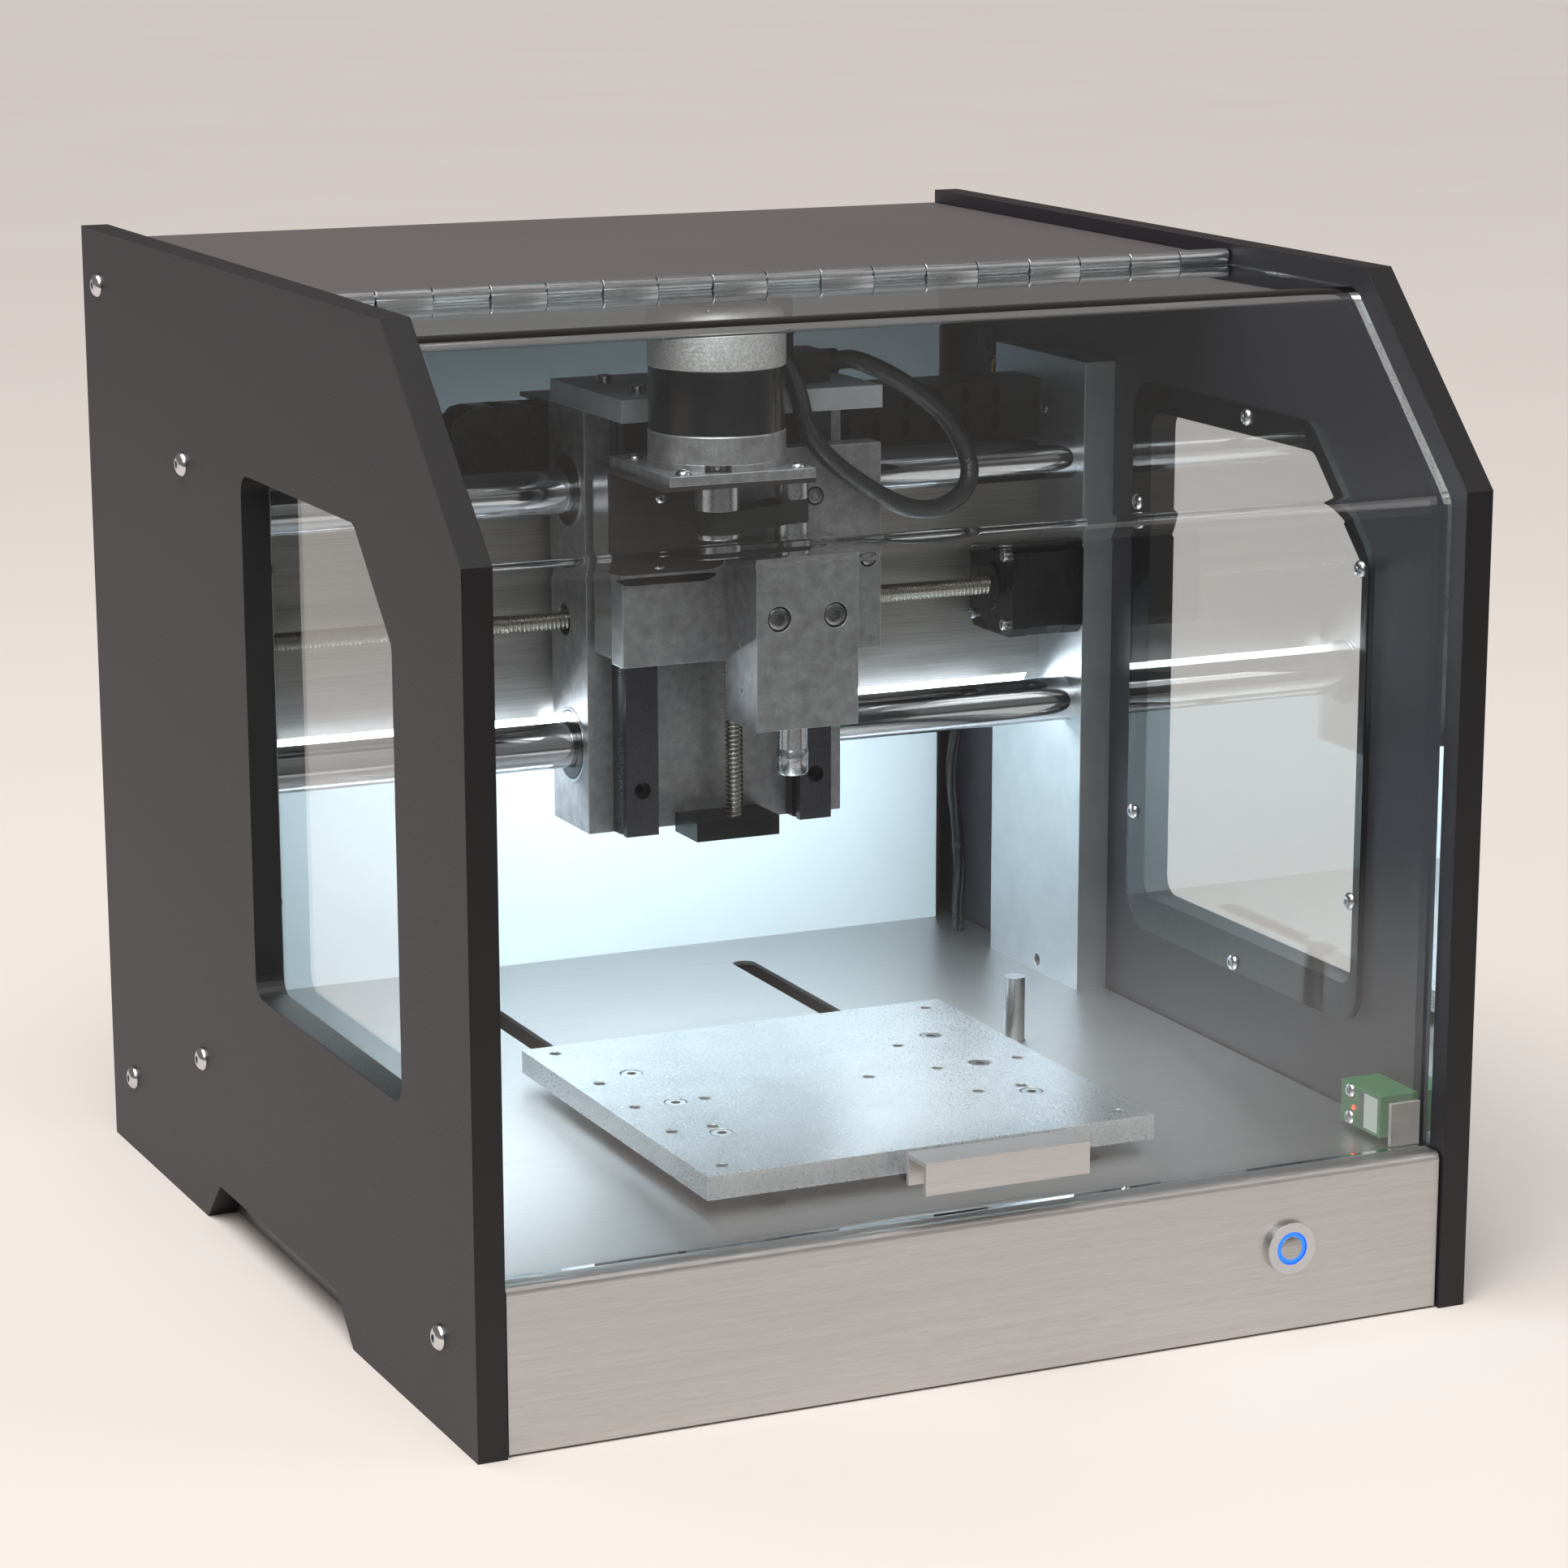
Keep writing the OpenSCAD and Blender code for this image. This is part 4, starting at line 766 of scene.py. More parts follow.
span = add(thread_tree, "ShaderNodeMath",
           {0: given.outputs["Crest radius"], 1: given.outputs["Root radius"]},
           operation="SUBTRACT")
radius = add(thread_tree, "ShaderNodeMath",
             {0: flank.outputs[0], 1: span.outputs[0], 2: given.outputs["Root radius"]},
             operation="MULTIPLY_ADD")
cos_a = add(thread_tree, "ShaderNodeMath", {0: angle.outputs[0]}, operation="COSINE")
sin_a = add(thread_tree, "ShaderNodeMath", {0: angle.outputs[0]}, operation="SINE")
y_at = add(thread_tree, "ShaderNodeMath", {0: radius.outputs[0], 1: cos_a.outputs[0]}, operation="MULTIPLY")
z_at = add(thread_tree, "ShaderNodeMath", {0: radius.outputs[0], 1: sin_a.outputs[0]}, operation="MULTIPLY")
wrapped = add(thread_tree, "ShaderNodeCombineXYZ",
              {"X": where.outputs["X"], "Y": y_at.outputs[0], "Z": z_at.outputs[0]})
wound = add(thread_tree, "GeometryNodeSetPosition",
            {"Geometry": grid.outputs["Mesh"], "Position": wrapped.outputs[0]})
sewn = add(thread_tree, "GeometryNodeMergeByDistance", {"Geometry": wound.outputs[0], "Distance": 1e-6})
shaded = add(thread_tree, "GeometryNodeSetShadeSmooth", {"Geometry": sewn.outputs[0]})
solid = add(thread_tree, "GeometryNodeRealizeInstances", {"Geometry": shaded.outputs[0]})
coated = add(thread_tree, "GeometryNodeSetMaterial",
             {"Geometry": solid.outputs[0], "Material": given.outputs["Finish"]})
thread_tree.links.new(coated.outputs[0], given_out.inputs[0])

# Parts set on points: each point carries the way it faces and its size.
points_tree, given, given_out = tree_of("parts_on_points", [
    ("Geometry", "NodeSocketGeometry", None), ("Part", "NodeSocketObject", None),
    ("Finish", "NodeSocketMaterial", None)])
facing = add(points_tree, "GeometryNodeInputNamedAttribute", data_type="FLOAT_VECTOR")
facing.inputs["Name"].default_value = "facing"
sized = add(points_tree, "GeometryNodeInputNamedAttribute", data_type="FLOAT")
sized.inputs["Name"].default_value = "sized"
turned = add(points_tree, "FunctionNodeAlignRotationToVector", {"Vector": facing.outputs[0]}, axis="Z")
part = add(points_tree, "GeometryNodeObjectInfo", {"Object": given.outputs["Part"]})
placed = add(points_tree, "GeometryNodeInstanceOnPoints", {
    "Points": given.outputs["Geometry"], "Instance": part.outputs["Geometry"],
    "Rotation": turned.outputs[0], "Scale": sized.outputs[0]})
solid = add(points_tree, "GeometryNodeRealizeInstances", {"Geometry": placed.outputs[0]})
coated = add(points_tree, "GeometryNodeSetMaterial",
             {"Geometry": solid.outputs[0], "Material": given.outputs["Finish"]})
points_tree.links.new(coated.outputs[0], given_out.inputs[0])

# Links spaced one pitch apart along a line, each turned to follow it.
links_tree, given, given_out = tree_of("links_on_line", [
    ("Geometry", "NodeSocketGeometry", None), ("Link", "NodeSocketObject", None),
    ("Pitch", "NodeSocketFloat", 0.015), ("Finish", "NodeSocketMaterial", None)])
line = add(links_tree, "GeometryNodeMeshToCurve", {"Mesh": given.outputs["Geometry"]})
stops = add(links_tree, "GeometryNodeCurveToPoints",
            {"Curve": line.outputs[0], "Length": given.outputs["Pitch"]}, mode="LENGTH")
turned = add(links_tree, "FunctionNodeAlignRotationToVector", {"Vector": stops.outputs["Tangent"]},
             axis="X", pivot_axis="Y")
part = add(links_tree, "GeometryNodeObjectInfo", {"Object": given.outputs["Link"]})
placed = add(links_tree, "GeometryNodeInstanceOnPoints", {
    "Points": stops.outputs["Points"], "Instance": part.outputs["Geometry"], "Rotation": turned.outputs[0]})
solid = add(links_tree, "GeometryNodeRealizeInstances", {"Geometry": placed.outputs[0]})
coated = add(links_tree, "GeometryNodeSetMaterial",
             {"Geometry": solid.outputs[0], "Material": given.outputs["Finish"]})
links_tree.links.new(coated.outputs[0], given_out.inputs[0])


def thread(name, low, length, axis, body, replaced, sides=20, per_pitch=8):
    """A leadscrew in place of its plain CAD cylinder. low is the end with the least coordinate, in mm."""
    mesh = grown(name, thread_tree, None, {
        "Length": length / 1000, "Crest radius": 0.00399, "Root radius": 0.0031, "Pitch": 0.002,
        "Starts": 2,
        "Sides": sides + 1, "Rings": int(length / 2 * per_pitch), "Finish": thread_steel})
    bm = bmesh.new()
    bm.from_mesh(mesh)
    bmesh.ops.holes_fill(bm, edges=[e for e in bm.edges if e.is_boundary], sides=0)
    bmesh.ops.recalc_face_normals(bm, faces=bm.faces[:])
    bm.to_mesh(mesh)
    bm.free()
    turn = {"X": Matrix.Identity(4), "Y": Matrix.Rotation(math.pi / 2, 4, "Z"),
            "Z": Matrix.Rotation(-math.pi / 2, 4, "Y")}[axis]
    middle = list(low)
    middle["XYZ".index(axis)] += length / 2
    mesh.transform(Matrix.Translation(mm(*middle)) @ turn)
    made = settle(name, mesh, None, body, True, 50)
    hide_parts(replaced)
    return made


def cad_span(node):
    """A CAD node's box in mm."""
    low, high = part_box(node)
    return [c * 1000 for c in low], [c * 1000 for c in high]


for screw_name, screw_axis, screw_sides, screw_rings in (
    ("x_leadscrew", "X", 20, 8), ("z_leadscrew", "Z", 20, 8), ("y_leadscrew", "Y", 12, 6)):
    span_low, span_high = cad_span(screw_name)
    way = "XYZ".index(screw_axis)
    start = [(span_low[i] + span_high[i]) / 2 for i in range(3)]
    start[way] = span_low[way]
    thread(screw_name + "_thread", start, span_high[way] - span_low[way], screw_axis,
           screw_name.replace("leadscrew", "screw"), screw_name, screw_sides, screw_rings)


def socket_head(name, rings, hexagon, depth):
    """A screw head about Z with a hexagon socket; rings are (radius, height) from its seat up."""
    n = 24
    verts, faces = [], []
    for r, z in rings:
        verts += [(r * math.cos(2 * math.pi * k / n), r * math.sin(2 * math.pi * k / n),
                   z) for k in range(n)]
    top = rings[-1][1]
    for z in (top, top - depth):
        for k in range(n):
            a = 2 * math.pi * k / n
            r = hexagon * math.cos(math.pi / 6) / math.cos((a + math.pi / 6) % (math.pi / 3) - math.pi / 6)
            verts.append((r * math.cos(a), r * math.sin(a), z))
    count = len(rings) + 2
    for i in range(count - 1):
        for k in range(n):
            m = (k + 1) % n
            faces.append([i * n + k, i * n + m, (i + 1) * n + m, (i + 1) * n + k])
    faces.append(list(range(n))[::-1])
    faces.append([(count - 1) * n + k for k in range(n)])
    mesh = bpy.data.meshes.new(name)
    mesh.from_pydata([mm(*v) for v in verts], [], faces)
    made = bpy.data.objects.new(name, mesh)
    bpy.context.scene.collection.objects.link(made)
    return made


# Heads for a shank of 1 mm radius, so that a point's size is the screw's radius in mm.
button_part = socket_head("button_head", [(1.75, 0), (1.76, 0.12), (1.68, 0.4), (1.45, 0.7), (1.15, 0.93),
                                          (0.85, 1.04)], 0.62, 0.7)
cap_part = socket_head("cap_head", [(1.66, 0), (1.67, 1.55), (1.6, 1.75), (1.45, 1.85), (1.0, 1.85)], 0.9,
                       1.0)


def screws(name, head, where_at, body, finish_used=None):
    """Screw heads at (x, y, z, facing, shank radius) in mm on one body."""
    base = bpy.data.meshes.new(name + "_points")
    base.from_pydata([mm(*w[:3]) for w in where_at], [], [])
    face_to = base.attributes.new("facing", "FLOAT_VECTOR", "POINT")
    face_to.data.foreach_set("vector", [c for w in where_at for c in w[3]])
    size_of = base.attributes.new("sized", "FLOAT", "POINT")
    size_of.data.foreach_set("value", [w[4] for w in where_at])
    mesh = grown(name, points_tree, base, {"Part": head, "Finish": finish_used or screw_chrome})
    return settle(name, mesh, None, body, True, 40)


# Screws of the side panels: button heads outside, over the CAD's plain ones.
hole_rows = [(214.75, 393), (205.25, 35), (-193.25, 38), (98.25, 330), (98.25, 71.6)]
panel_heads = screws(
    "panel_screw_heads", button_part,
    [(s * 216, y, z, (s, 0, 0), 3.0) for s in (-1, 1) for y, z in hole_rows], "base_frame")
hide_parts("panel_screws")

# Screws that hold the window panes, on the inside.
pane_rows = [(-63.5, 344.3), (29.8, 295), (29.5, 156), (-157.3, 295.6), (-156.5, 156), (-62.3, 107.2)]
screws("pane_screw_heads", button_part,
       [(s * 201, y, z, (-s, 0, 0), 2.1) for s in (-1, 1) for y, z in pane_rows], "base_frame")


# ---------------------------------------------------------------- clear lid

lid_low_z, lid_y, lid_top, lid_back = 67.5, -221.75, 408.5, -44.55
lid_half, lid_t, lid_bend, lid_slope = 203.3, 5.0, 14.0, 76.0
tangent = lid_bend * math.tan(math.radians(22.5))
low_bend = (lid_y + lid_bend, lid_top - lid_slope - tangent)
high_bend = (lid_y + lid_slope + tangent, lid_top - lid_bend)


def bend(centre, r, a0, a1, n=18):
    """Points of a bend in (y, z), angles in degrees."""
    return [(centre[0] + r * math.cos(math.radians(a0 + (a1 - a0) * k / n)),
             centre[1] + r * math.sin(math.radians(a0 + (a1 - a0) * k / n))) for k in range(n + 1)]


lid_line = ([(lid_y, lid_low_z)] + bend(low_bend, lid_bend, 180, 135) + bend(high_bend, lid_bend, 135, 90)
            + [(lid_back, lid_top), (lid_back, lid_top - lid_t)]
            + bend(high_bend, lid_bend - lid_t, 90, 135) + bend(low_bend, lid_bend - lid_t, 135, 180)
            + [(lid_y + lid_t, lid_low_z)])
lid_verts, lid_faces = outline(lid_line, -lid_half, lid_half, "X")
lid_sheet = piece("lid_sheet", lid_verts, lid_faces, clear_lid, "front_lid", "clear", True, 30)

# The lid's half of the hinge: knuckles on a leaf screwed to the sheet.
knuckle = 2 * lid_half / 17
hinge_axis = (0, -40.75, 411.5)
hinge_parts = []
for i in range(1, 17, 2):
    x0, x1 = -lid_half + i * knuckle + 0.3, -lid_half + (i + 1) * knuckle - 0.3
    hinge_parts.append(lathe([(2.9, x0), (3.2, x0 + 0.3), (3.2, x1 - 0.3), (2.9, x1)], hinge_axis, "X", 20))
    hinge_parts.append(slab((x0, -44.4, 407.6), (x1, -41.2, 410.9), 0.2))
piece("lid_hinge_knuckles", *joined(*hinge_parts), hinge_alloy, "front_lid", "aluminium", True)
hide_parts("lid")

# ---------------------------------------------------------------- drag chain


def chain_link():
    """One link of the chain: two waisted cheeks with a pivot boss, and the two bars that join them."""
    parts = []
    for s in (-1, 1):
        def stadium(x0, x1, r, n=10):
            left = [(x0 + r * math.cos(math.radians(a)), r * math.sin(math.radians(a)))
                    for a in [90 + 180 * k / n for k in range(n + 1)]]
            right = [(x1 + r * math.cos(math.radians(a)), r * math.sin(math.radians(a)))
                     for a in [-90 + 180 * k / n for k in range(n + 1)]]
            return left + right
        parts.append(outline(stadium(-6.6, 7.2, 5.9), min(s * 8.2, s * 9.6), max(s * 8.2, s * 9.6), "Y"))
        parts.append(outline(stadium(-8.4, -2.2, 5.4), min(s * 9.6, s * 10.7), max(s * 9.6, s * 10.7), "Y"))
        parts.append(outline(stadium(-7.5, -7.45, 2.6), min(s * 10.7, s * 11.0), max(s * 10.7, s * 11.0),
                             "Y"))
    for z in (-5.9, 4.6):
        parts.append(slab((-4.2, -9, z), (3.4, 9, z + 1.3), 0.3))
    verts, faces = joined(*parts)
    mesh = bpy.data.meshes.new("chain_link")
    mesh.from_pydata([mm(*v) for v in verts], [], faces)
    made = bpy.data.objects.new("chain_link", mesh)
    bpy.context.scene.collection.objects.link(made)
    return made


link_part = chain_link()
chain_y, chain_mid = 114.75, 330.65
chain_bend_x, chain_bend_r, link_pitch = -79, 6.75, 15
chain_line = [(130 - i * 4, chain_y, chain_mid - chain_bend_r) for i in range(53)]
chain_line += [(chain_bend_x - chain_bend_r * math.sin(math.radians(a)), chain_y,
                chain_mid - chain_bend_r * math.cos(math.radians(a)))
               for a in range(10, 180, 10)]
chain_line += [(chain_bend_x + i * 4, chain_y, chain_mid + chain_bend_r) for i in range(17)]


def on_line(name, line_points, link, pitch, finish_used, body):
    """Links along a line of points in mm."""
    base = bpy.data.meshes.new(name + "_line")
    base.from_pydata([mm(*p) for p in line_points], [(i, i + 1) for i in range(len(line_points) - 1)], [])
    mesh = grown(name, links_tree, base, {"Link": link, "Pitch": pitch / 1000, "Finish": finish_used})
    return settle(name, mesh, None, body, True, 40)


chain = on_line("chain_links", chain_line, link_part, link_pitch, black_nylon, "x_chain")
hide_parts("drag_chain")


# ---------------------------------------------------------------- spindle motor

motor_at = (-24.0, -17.85)
spindle_centre = (16.5, -3.0, 0)


def rim(r, notches, n=96):
    """A circle about the motor's axis, with notches (angle, width in degrees, depth) cut in it."""
    out = []
    for k in range(n):
        a = 360 * k / n
        cut = max([d for at, wide, d in notches if abs((a - at + 180) % 360 - 180) < wide / 2], default=0)
        out.append((motor_at[0] + (r - cut) * math.cos(math.radians(a)),
                    motor_at[1] + (r - cut) * math.sin(math.radians(a))))
    return out


def about_motor(r, angle, z):
    """A point at a radius and angle from the motor's axis."""
    return (motor_at[0] + r * math.cos(math.radians(angle)),
            motor_at[1] + r * math.sin(math.radians(angle)), z)


motor_centre = (*motor_at, 0)
base_ring = joined(outline(rim(28.6, [(-113, 17, 6)]), 332.7, 335.7, "Z"),
                   lathe([(28.6, 335.7), (28.6, 346.9), (28.0, 347.5)], motor_centre, "Z", 96))
motor_ring = piece("motor_base_ring", *base_ring, mill_block, "z_slide", "cast_grey", True)
piece("motor_can", *outline(rim(28.2, [(-52, 4, 0.5), (-48, 3, 0.25)]), 347.5, 373.5, "Z"), black_lacquer,
      "z_slide", "black_metal", True)
piece("motor_cap",
      *lathe([(28.0, 373.5), (28.6, 374.0), (28.6, 390.6), (28.35, 391.9), (27.7, 393.1), (26.7, 394.1),
                           (25.3, 394.9), (23.6, 395.3)], motor_centre, "Z", 96),
      blasted_cap, "z_slide", "cast_grey", True)
piece("motor_cap_disc", *lathe([(12.5, 395.3), (12.5, 395.45), (12.3, 395.5)], motor_centre, "Z", 48),
      dark_disc, "z_slide", "black_plastic", True)
# The lead's shrink boot on the side of the cap.
boot_line, _ = smooth_route([(-3.5, -0.8, 376), (1.3, 3.4, 376), (6, 7.4, 376), (11.5, 11.6, 375.4),
                             (16, 12.3, 372.8)], 1.2)
boot = tube(boot_line, 5.0, 28, lambda turn, along: (
    1.1 * math.sin(math.pi * min(1.0, along / 24)) + 0.12 * math.sin(7 * math.pi * turn + along / 2)))
piece("lead_boot", *boot[:2], black_rubber, "z_slide", "black_plastic", True, 60)
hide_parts("spindle_motor")
screws("motor_cap_screws", button_part,
       [(*about_motor(24.6, a, 395.0), (0, 0, 1), 1.15) for a in (121, 1, -119)], "z_slide")
screws("motor_notch_screw", button_part,
       [(*about_motor(23, -113, 334.1),
         tuple(about_motor(1, -113, 0)[i] - motor_centre[i] for i in range(3)), 0.95)],
       "z_slide")

# ---------------------------------------------------------------- button, sensor and probe details

button_centre = (133, 0, 36)
button_ring = piece("button_led_ring",
                    *lathe([(6.3, -231.7), (6.5, -231.5), (6.5, -224.95)], button_centre, "Y", 64),
                    blue_lamp, "start_button", "lit_panel", True)
piece("button_cap", *lathe([(4.5, -231.95), (4.9, -231.75), (4.9, -230.9)], button_centre, "Y", 64),
      button_steel, "start_button", "bright_steel", True)
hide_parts("power_button")

screws("sensor_screws", button_part, [(186, -185.75, z, (-1, 0, 0), 1.75) for z in (72.5, 83.9)],
       "base_frame")
piece("sensor_led", *lathe([(0.5, 185.2), (0.95, 185.5), (0.95, 186.05)], (0, -188.4, 77.2), "X", 20),
      red_lamp, "base_frame", "green_plastic", True)
piece("sensor_plate_dark", *slab((185.8, -196.2, 70.8), (186.02, -192.2, 85.4), 0.05), grey_print,
      "base_frame",
      "green_plastic")
piece("sensor_plate_pale", *slab((185.8, -206.4, 70.8), (186.02, -196.2, 85.4), 0.05), pale_label,
      "base_frame",
      "green_plastic")

# ---------------------------------------------------------------- wiring on the right side


def beside(route, offset, angle, twist):
    """A route moved sideways by offset, at an angle that turns by twist degrees per mm."""
    out, side, length = [], Vector((0, 1, 0.01)), 0.0
    for i, p in enumerate(route):
        ahead = (route[min(i + 1, len(route) - 1)] - route[max(i - 1, 0)]).normalized()
        side = (side - ahead * side.dot(ahead)).normalized()
        up = ahead.cross(side)
        length += (p - route[i - 1]).length if i else 0.0
        a = math.radians(angle + twist * length)
        out.append(p + offset * (math.cos(a) * side + math.sin(a) * up))
    return out


loom_line, _ = smooth_route([
    (179, 127.7, 322), (180, 138, 321.5), (183, 148, 316), (188, 156, 305), (191, 163, 290),
    (190, 169, 270),
    (189, 175, 245), (191, 180, 220), (193, 182, 195), (190, 184, 170), (188, 186, 145), (191, 187, 120),
    (192, 185, 97), (190, 182, 80), (190, 181.5, 66.7)], 3.0)
bundle = [tube(beside(loom_line, 1.75, 72 * k, 1.1), 1.15, 10)[:2] for k in range(5)]
loom = piece("loom_wires", *joined(*bundle), black_rubber, "base_frame", "black_plastic", True, 60)
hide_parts("wiring_loom")
for label, sheath, places in (
    ("red_wires", red_wire, [(201.5, 170, 343), (198, 166, 334), (193, 160, 322), (190, 157, 306)]),
    ("yellow_wire", yellow_wire, [(202, 173, 342), (199, 170, 330), (194, 164, 315), (191.5, 160.5, 300)]),
    ("white_wire", white_nylon, [(196, 157, 328), (193, 155, 320), (190, 157, 308), (192, 163.5, 291)])):
    wire_line, _ = smooth_route(places, 2.0)
    piece(label, *tube(wire_line, 0.65, 8)[:2], sheath, "base_frame", "black_plastic", True, 60)
connector = joined(slab((200.4, 171, 343.5), (203.98, 187, 356), 0.5),
                   slab((199.6, 173.5, 341), (203.98, 184, 344), 0.4),
                   slab((199.2, 175, 346), (200.6, 183, 352), 0.3))
piece("wall_connector", *connector, black_nylon, "base_frame", "black_plastic")
piece("terminal_block", *joined(slab((191, 147.2, 327.5), (203.98, 166.5, 337), 0.6),
                                *[slab((190.3, 149 + 4.5 * k, 329), (191.2, 151.6 + 4.5 * k, 335.5), 0.2)
                                  for k in range(4)]), white_nylon, "base_frame", "black_plastic")
piece("junction_box", *joined(slab((173.5, 127.9, 319), (188.98, 145.6, 338.5), 0.8),
                              slab((172.6, 130, 321), (173.8, 143.5, 336.5), 0.4)), black_nylon,
                              "base_frame",
      "black_plastic")
ties = [tube([p - d * 1.3, p + d * 1.3], 3.15, 20)[:2]
        for p,
        d in ((loom_line[i], (loom_line[i + 1] - loom_line[i - 1]).normalized()) for i in (12, 34, 58, 80))]
piece("loom_ties", *joined(*ties), black_nylon, "base_frame", "black_plastic", True)

# Cheeks of the links that lie in the cable duct, in low relief along its face.
duct_cheeks = []
for k in range(8):
    middle = 68.5 + 15 * k
    ends = [(middle + s * 4.2 + 5.6 * math.cos(math.radians(a)), 5.6 * math.sin(math.radians(a)))
            for s, first in ((1, -90), (-1, 90)) for a in range(first, first + 181, 20)]
    for height in (323.4, 336.0):
        duct_cheeks.append(outline([(x, height + z) for x, z in ends], 101.05, 101.5, "Y"))
piece("duct_cheeks", *joined(*duct_cheeks), black_nylon, "base_frame", "black_plastic", True)

# ---------------------------------------------------------------- motors, bearings and small screws


def chamfered(cx, cy, half, cut):
    """A square with its corners cut, about a point."""
    return [(cx + x, cy + y) for x, y in (
        (half - cut, -half), (half, -half + cut), (half, half - cut), (half - cut, half),
        (-half + cut, half),
        (-half, half - cut), (-half, -half + cut), (-half + cut, -half))]


shaft_y, shaft_heights = 73.75, (310.5, 201.0)
screw_y, screw_z = 79.25, 255
z_motor_x, z_motor_y = 7.5, 37.75
bell_half, bell_cut = 21.3, 4.2
bell_holes = [(a, b) for a in (-15.5, 15.5) for b in (-15.5, 15.5)]

# End bells of the stepper motors, a little proud of their stacked plates.
piece("z_stepper_bells",
      *joined(*[outline(chamfered(z_motor_x, z_motor_y, bell_half, bell_cut), low, high, "Z")
                                   for low, high in ((356.55, 366), (384.5, 392.6))]),
      black_lacquer, "x_carriage", "black_metal")
piece("x_stepper_bells", *joined(*[outline(chamfered(screw_y, screw_z, bell_half, bell_cut), low, high, "X")
                                   for low, high in ((153.4, 162), (180, 188.9))],
                                 lathe([(11, 151.4), (11, 153.5)], (0, screw_y, screw_z), "X", 40)),
      black_lacquer, "base_frame", "black_metal")
screws("x_stepper_screws", cap_part,
       [(153.4, screw_y + a, screw_z + b, (-1, 0, 0), 1.5) for a, b in bell_holes], "base_frame")
screws("z_stepper_screws", button_part,
       [(z_motor_x + a, z_motor_y + b, 392.5, (0, 0, 1), 1.5) for a, b in bell_holes], "x_carriage")

# Wiper seals at the ends of the linear bearings.
seals = [lathe([(15.2, x - 0.35), (15.2, x + 0.35), (10.25, x + 0.35), (10.25, x - 0.35)], (0, shaft_y, z),
               "X", 48, True)
         for x in (-54.2, 66.2) for z in shaft_heights]
piece("bearing_seals", *joined(*seals), black_rubber, "x_carriage", "black_plastic", True)
bearing_lips = [lathe([(16.4, x - 0.25), (16.4, x + 0.25), (15.3, x + 0.25), (15.3, x - 0.25)],
                      (0, shaft_y, z), "X", 48, True)
                for x in (-54.1, 66.1) for z in shaft_heights]
piece("bearing_rims", *joined(*bearing_lips), turned_bright, "x_carriage", "bright_steel", True)

# Countersunk rims of the tapped holes in the table.
tap_r, table_y, table_top = 2.5, -76.75, 81.5
taps = ([(x, y) for x in (-88, 88) for y in (-88, 88)] + [(-88, y) for y in (-38, 0, 38)] + [(88, 0)]
        + [(50, y) for y in (-38, 0, 38)] + [(18, 0), (-57, 0), (-70, -38), (70, -38)])
hole_rims = [lathe([(tap_r + 0.55, table_top), (tap_r + 0.5, 81.56), (tap_r, 81.2), (tap_r, 81.1)],
                   (x, y + table_y, 0), "Z",
                   28, True) for x, y in taps]
piece("tap_rims", *joined(*hole_rims), turned_bright, "y_table", "bright_steel", True)

# Screws sunk in counterbores of the slide plate, and dark rims round them, a painted shade in the
# counterbores.
sunk = [(35.1, 310.8), (60.0, 284.3), (-47.5, 318.0)]
plate_screws = screws("plate_screws", button_part, [
    (-24 + 25.5 * a, -16.85 + 25.5 * b, 332.7, (0, 0, 1), 2.0) for a in (-1, 1) for b in (-1, 1)],
    "z_slide")
screws("block_screws", cap_part, [(x, -13.2, 267, (0, -1, 0), 3.0) for x in (3.5, 29.5)], "z_slide",
       screw_dark)
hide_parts("slide_screws")
screws("slide_cap_screws", cap_part, [(x, 16.4, z, (0, -1, 0), 2.0) for x, z in sunk], "z_slide",
       screw_dark)
piece("counterbore_rims", *joined(*[
    lathe([(4.1, 13.15), (4.1, 13.4), (3.35, 13.4), (3.35, 13.15)], (x, 0, z), "Y", 32, True) for x,
    z in sunk]),
    painted_hole_shade, "z_slide", "black_metal", True)
screws("bracket_screws", button_part,
       [(x, 11.25, z, (0, -1, 0), 1.5) for x, z in ((-38, 290), (-37, 315))], "z_slide")
screws("roof_screws", cap_part, [(x, y, 356.5, (0, 0, 1), 2.0)
                                 for x, y in ((-39, 66.75), (-39, 30), (52, 66.75), (52, 84))],
                                 "x_carriage")
screws("handle_screws", button_part, [(x, -216.75, 89.8, (0, 1, 0), 1.5) for x in (-22.5, 24.5)],
       "front_lid")
screws("duct_screw", button_part, [(189, 96, 329, (-1, 0, 0), 1.3)], "base_frame")

# Collet nut with its ring grooves and bore.
collet = [(7.0, 207.4), (7.0, 204.2), (6.7, 204.0), (6.7, 203.4), (6.9, 203.2), (6.9, 198.0), (6.2, 196.9),
          (1.65, 196.8), (1.65, 208.0), (6.6, 208.0)]
collet_ring = piece("collet_nut_turned", *lathe(collet[::-1], spindle_centre, "Z", 48, True),
                    turned_bright, "spindle",
                    "bright_steel", True)
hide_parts("collet_nut")

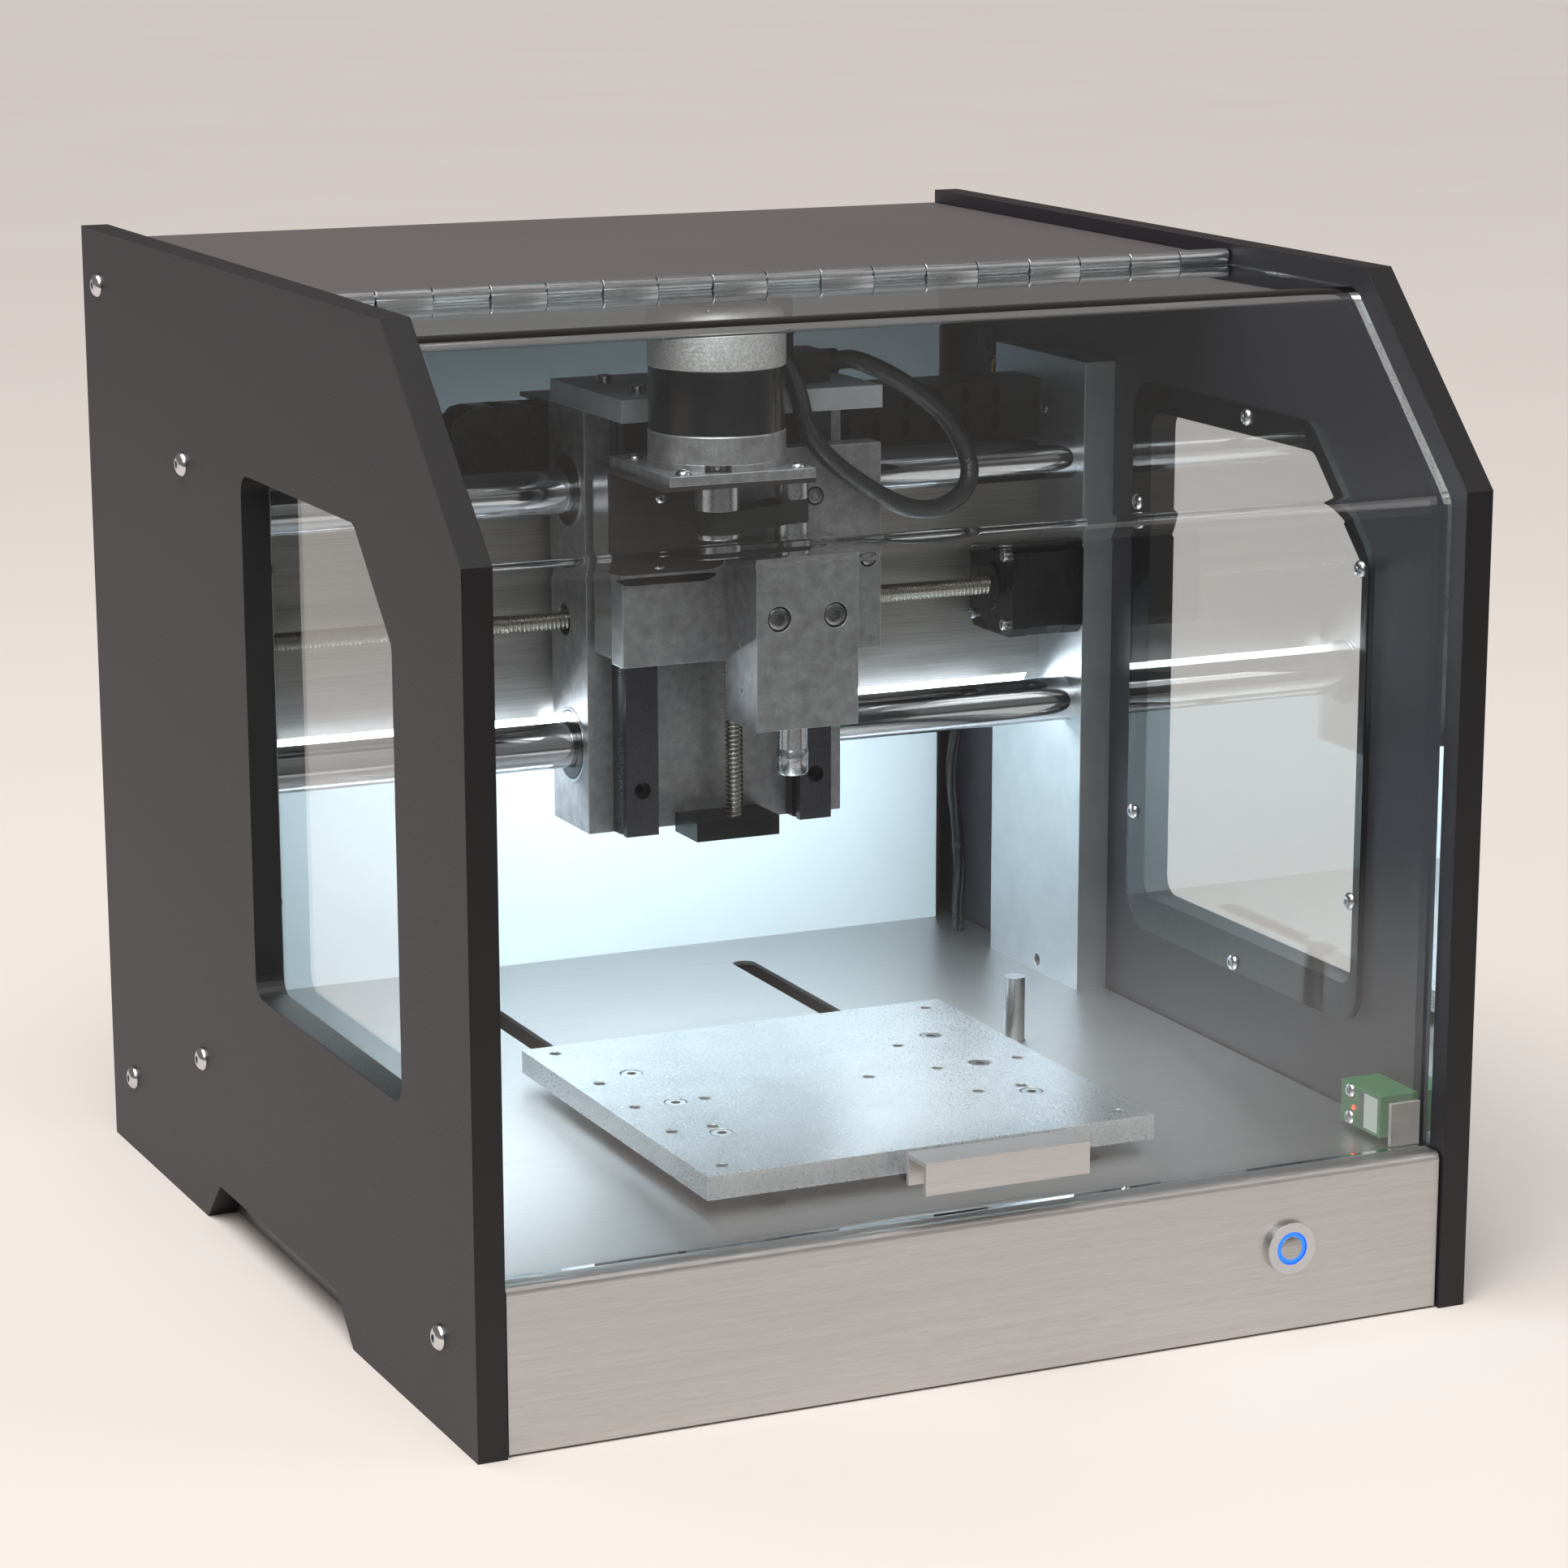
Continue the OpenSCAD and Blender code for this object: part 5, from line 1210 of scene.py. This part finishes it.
# The motor's pulley with its long hub, and the clamp collar over the spindle's pulley.
teeth = [(7.6 - (0.5 if k % 2 else 0.0)) for k in range(44)]
pulley = joined(
    lathe([(9.0, 301.7), (9.25, 302.0), (9.25, 303.7), (7.2, 303.7), (7.2, 313.6), (9.25, 313.6),
           (9.25, 326.0),
           (8.9, 326.4), (3.0, 326.4), (3.0, 347.6)], motor_centre, "Z", 48),
    outline([about_motor(r, 360 * k / 44, 0)[:2] for k, r in enumerate(teeth)], 303.7, 313.6, "Z"))
pulley_turned = piece("motor_pulley_turned", *pulley, turned_bright, "motor_rotor", "bright_steel", True)
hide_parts("motor_pulley")
piece("spindle_collar",
      *lathe([(7.25, 316.3), (7.25, 321.0), (6.7, 321.2), (6.7, 322.0), (7.6, 322.2), (7.6, 325.6),
                                (7.2, 326.0)], spindle_centre, "Z", 48), turned_bright, "spindle",
                                "bright_steel", True)

# Lamps of the strip under the rear beam.
piece("strip_board", *slab((-180, 108.8, 207), (180, 109.6, 217), 0.1), white_nylon, "base_frame",
      "lit_panel")
piece("strip_lamps", *joined(*[slab((x - 2.5, 109.6, 209.5), (x + 2.5, 110.9, 214.5), 0.3)
                               for x in range(-168, 169, 16)]), strip_lamp, "base_frame", "lit_panel")

# ---------------------------------------------------------------- stage and light

floor = bpy.data.objects.new("floor", bpy.data.meshes.new("floor"))
bpy.context.scene.collection.objects.link(floor)
floor.data.from_pydata([(-12, -12, 0), (12, -12, 0), (12, 12, 0), (-12, 12, 0)], [], [(0, 1, 2, 3)])
floor.data.materials.append(pale_floor("pale_floor"))


def soft_light(name, at, aim, size, power, colour, size_y=None):
    """A soft box at a point, aimed at another, both in metres."""
    data = bpy.data.lights.new(name, "AREA")
    data.shape = "RECTANGLE"
    data.size, data.size_y = size, size_y or size
    data.energy, data.color = power, colour
    made = bpy.data.objects.new(name, data)
    bpy.context.scene.collection.objects.link(made)
    made.location = at
    made.rotation_euler = (Vector(aim) - Vector(at)).to_track_quat("-Z", "Y").to_euler()
    return made


soft_light("key", (-1.5, -1.9, 2.3), (0, 0, 0.2), 1.6, 30, (1.0, 0.97, 0.94))
soft_light("fill", (2.2, -1.6, 1.5), (0, 0, 0.2), 1.8, 12, (1.0, 0.95, 0.92))
soft_light("top", (-0.9, 0.5, 2.4), (0, 0, 0.3), 1.2, 16, (1.0, 0.98, 0.97))
# Wide soft light from above, which keeps the far floor as pale as the near floor.
broad = bpy.data.lights.new("broad", "SUN")
broad.energy, broad.angle, broad.color = 2.4, math.radians(45), (1.0, 0.97, 0.955)
broad_lamp = bpy.data.objects.new("broad", broad)
broad_lamp.rotation_euler = (math.radians(18), math.radians(-14), 0)
bpy.context.scene.collection.objects.link(broad_lamp)
lamp_white = (0.86, 0.95, 1.0)
# The machine's own white lamps: a strip under the rear beam that lights the deck and the back panel.
soft_light("strip_rear", mm(0, 118, 203), mm(0, 150, 66), 0.36, 0.43, lamp_white, 0.02)
soft_light("strip_front", mm(0, 99, 205), mm(0, -70, 66), 0.36, 0.64, lamp_white, 0.012)
bpy.context.scene.view_settings.view_transform = "Standard"

world = bpy.data.worlds.new("studio")
world.use_nodes = True
world.node_tree.nodes.clear()
sky = add(world.node_tree, "ShaderNodeBackground", {"Color": linear("ddd6d2"), "Strength": 0.3})
add(world.node_tree, "ShaderNodeOutputWorld", {"Surface": sky.outputs[0]})
bpy.context.scene.world = world

for helper in (button_part, cap_part, link_part):
    bpy.data.objects.remove(helper)
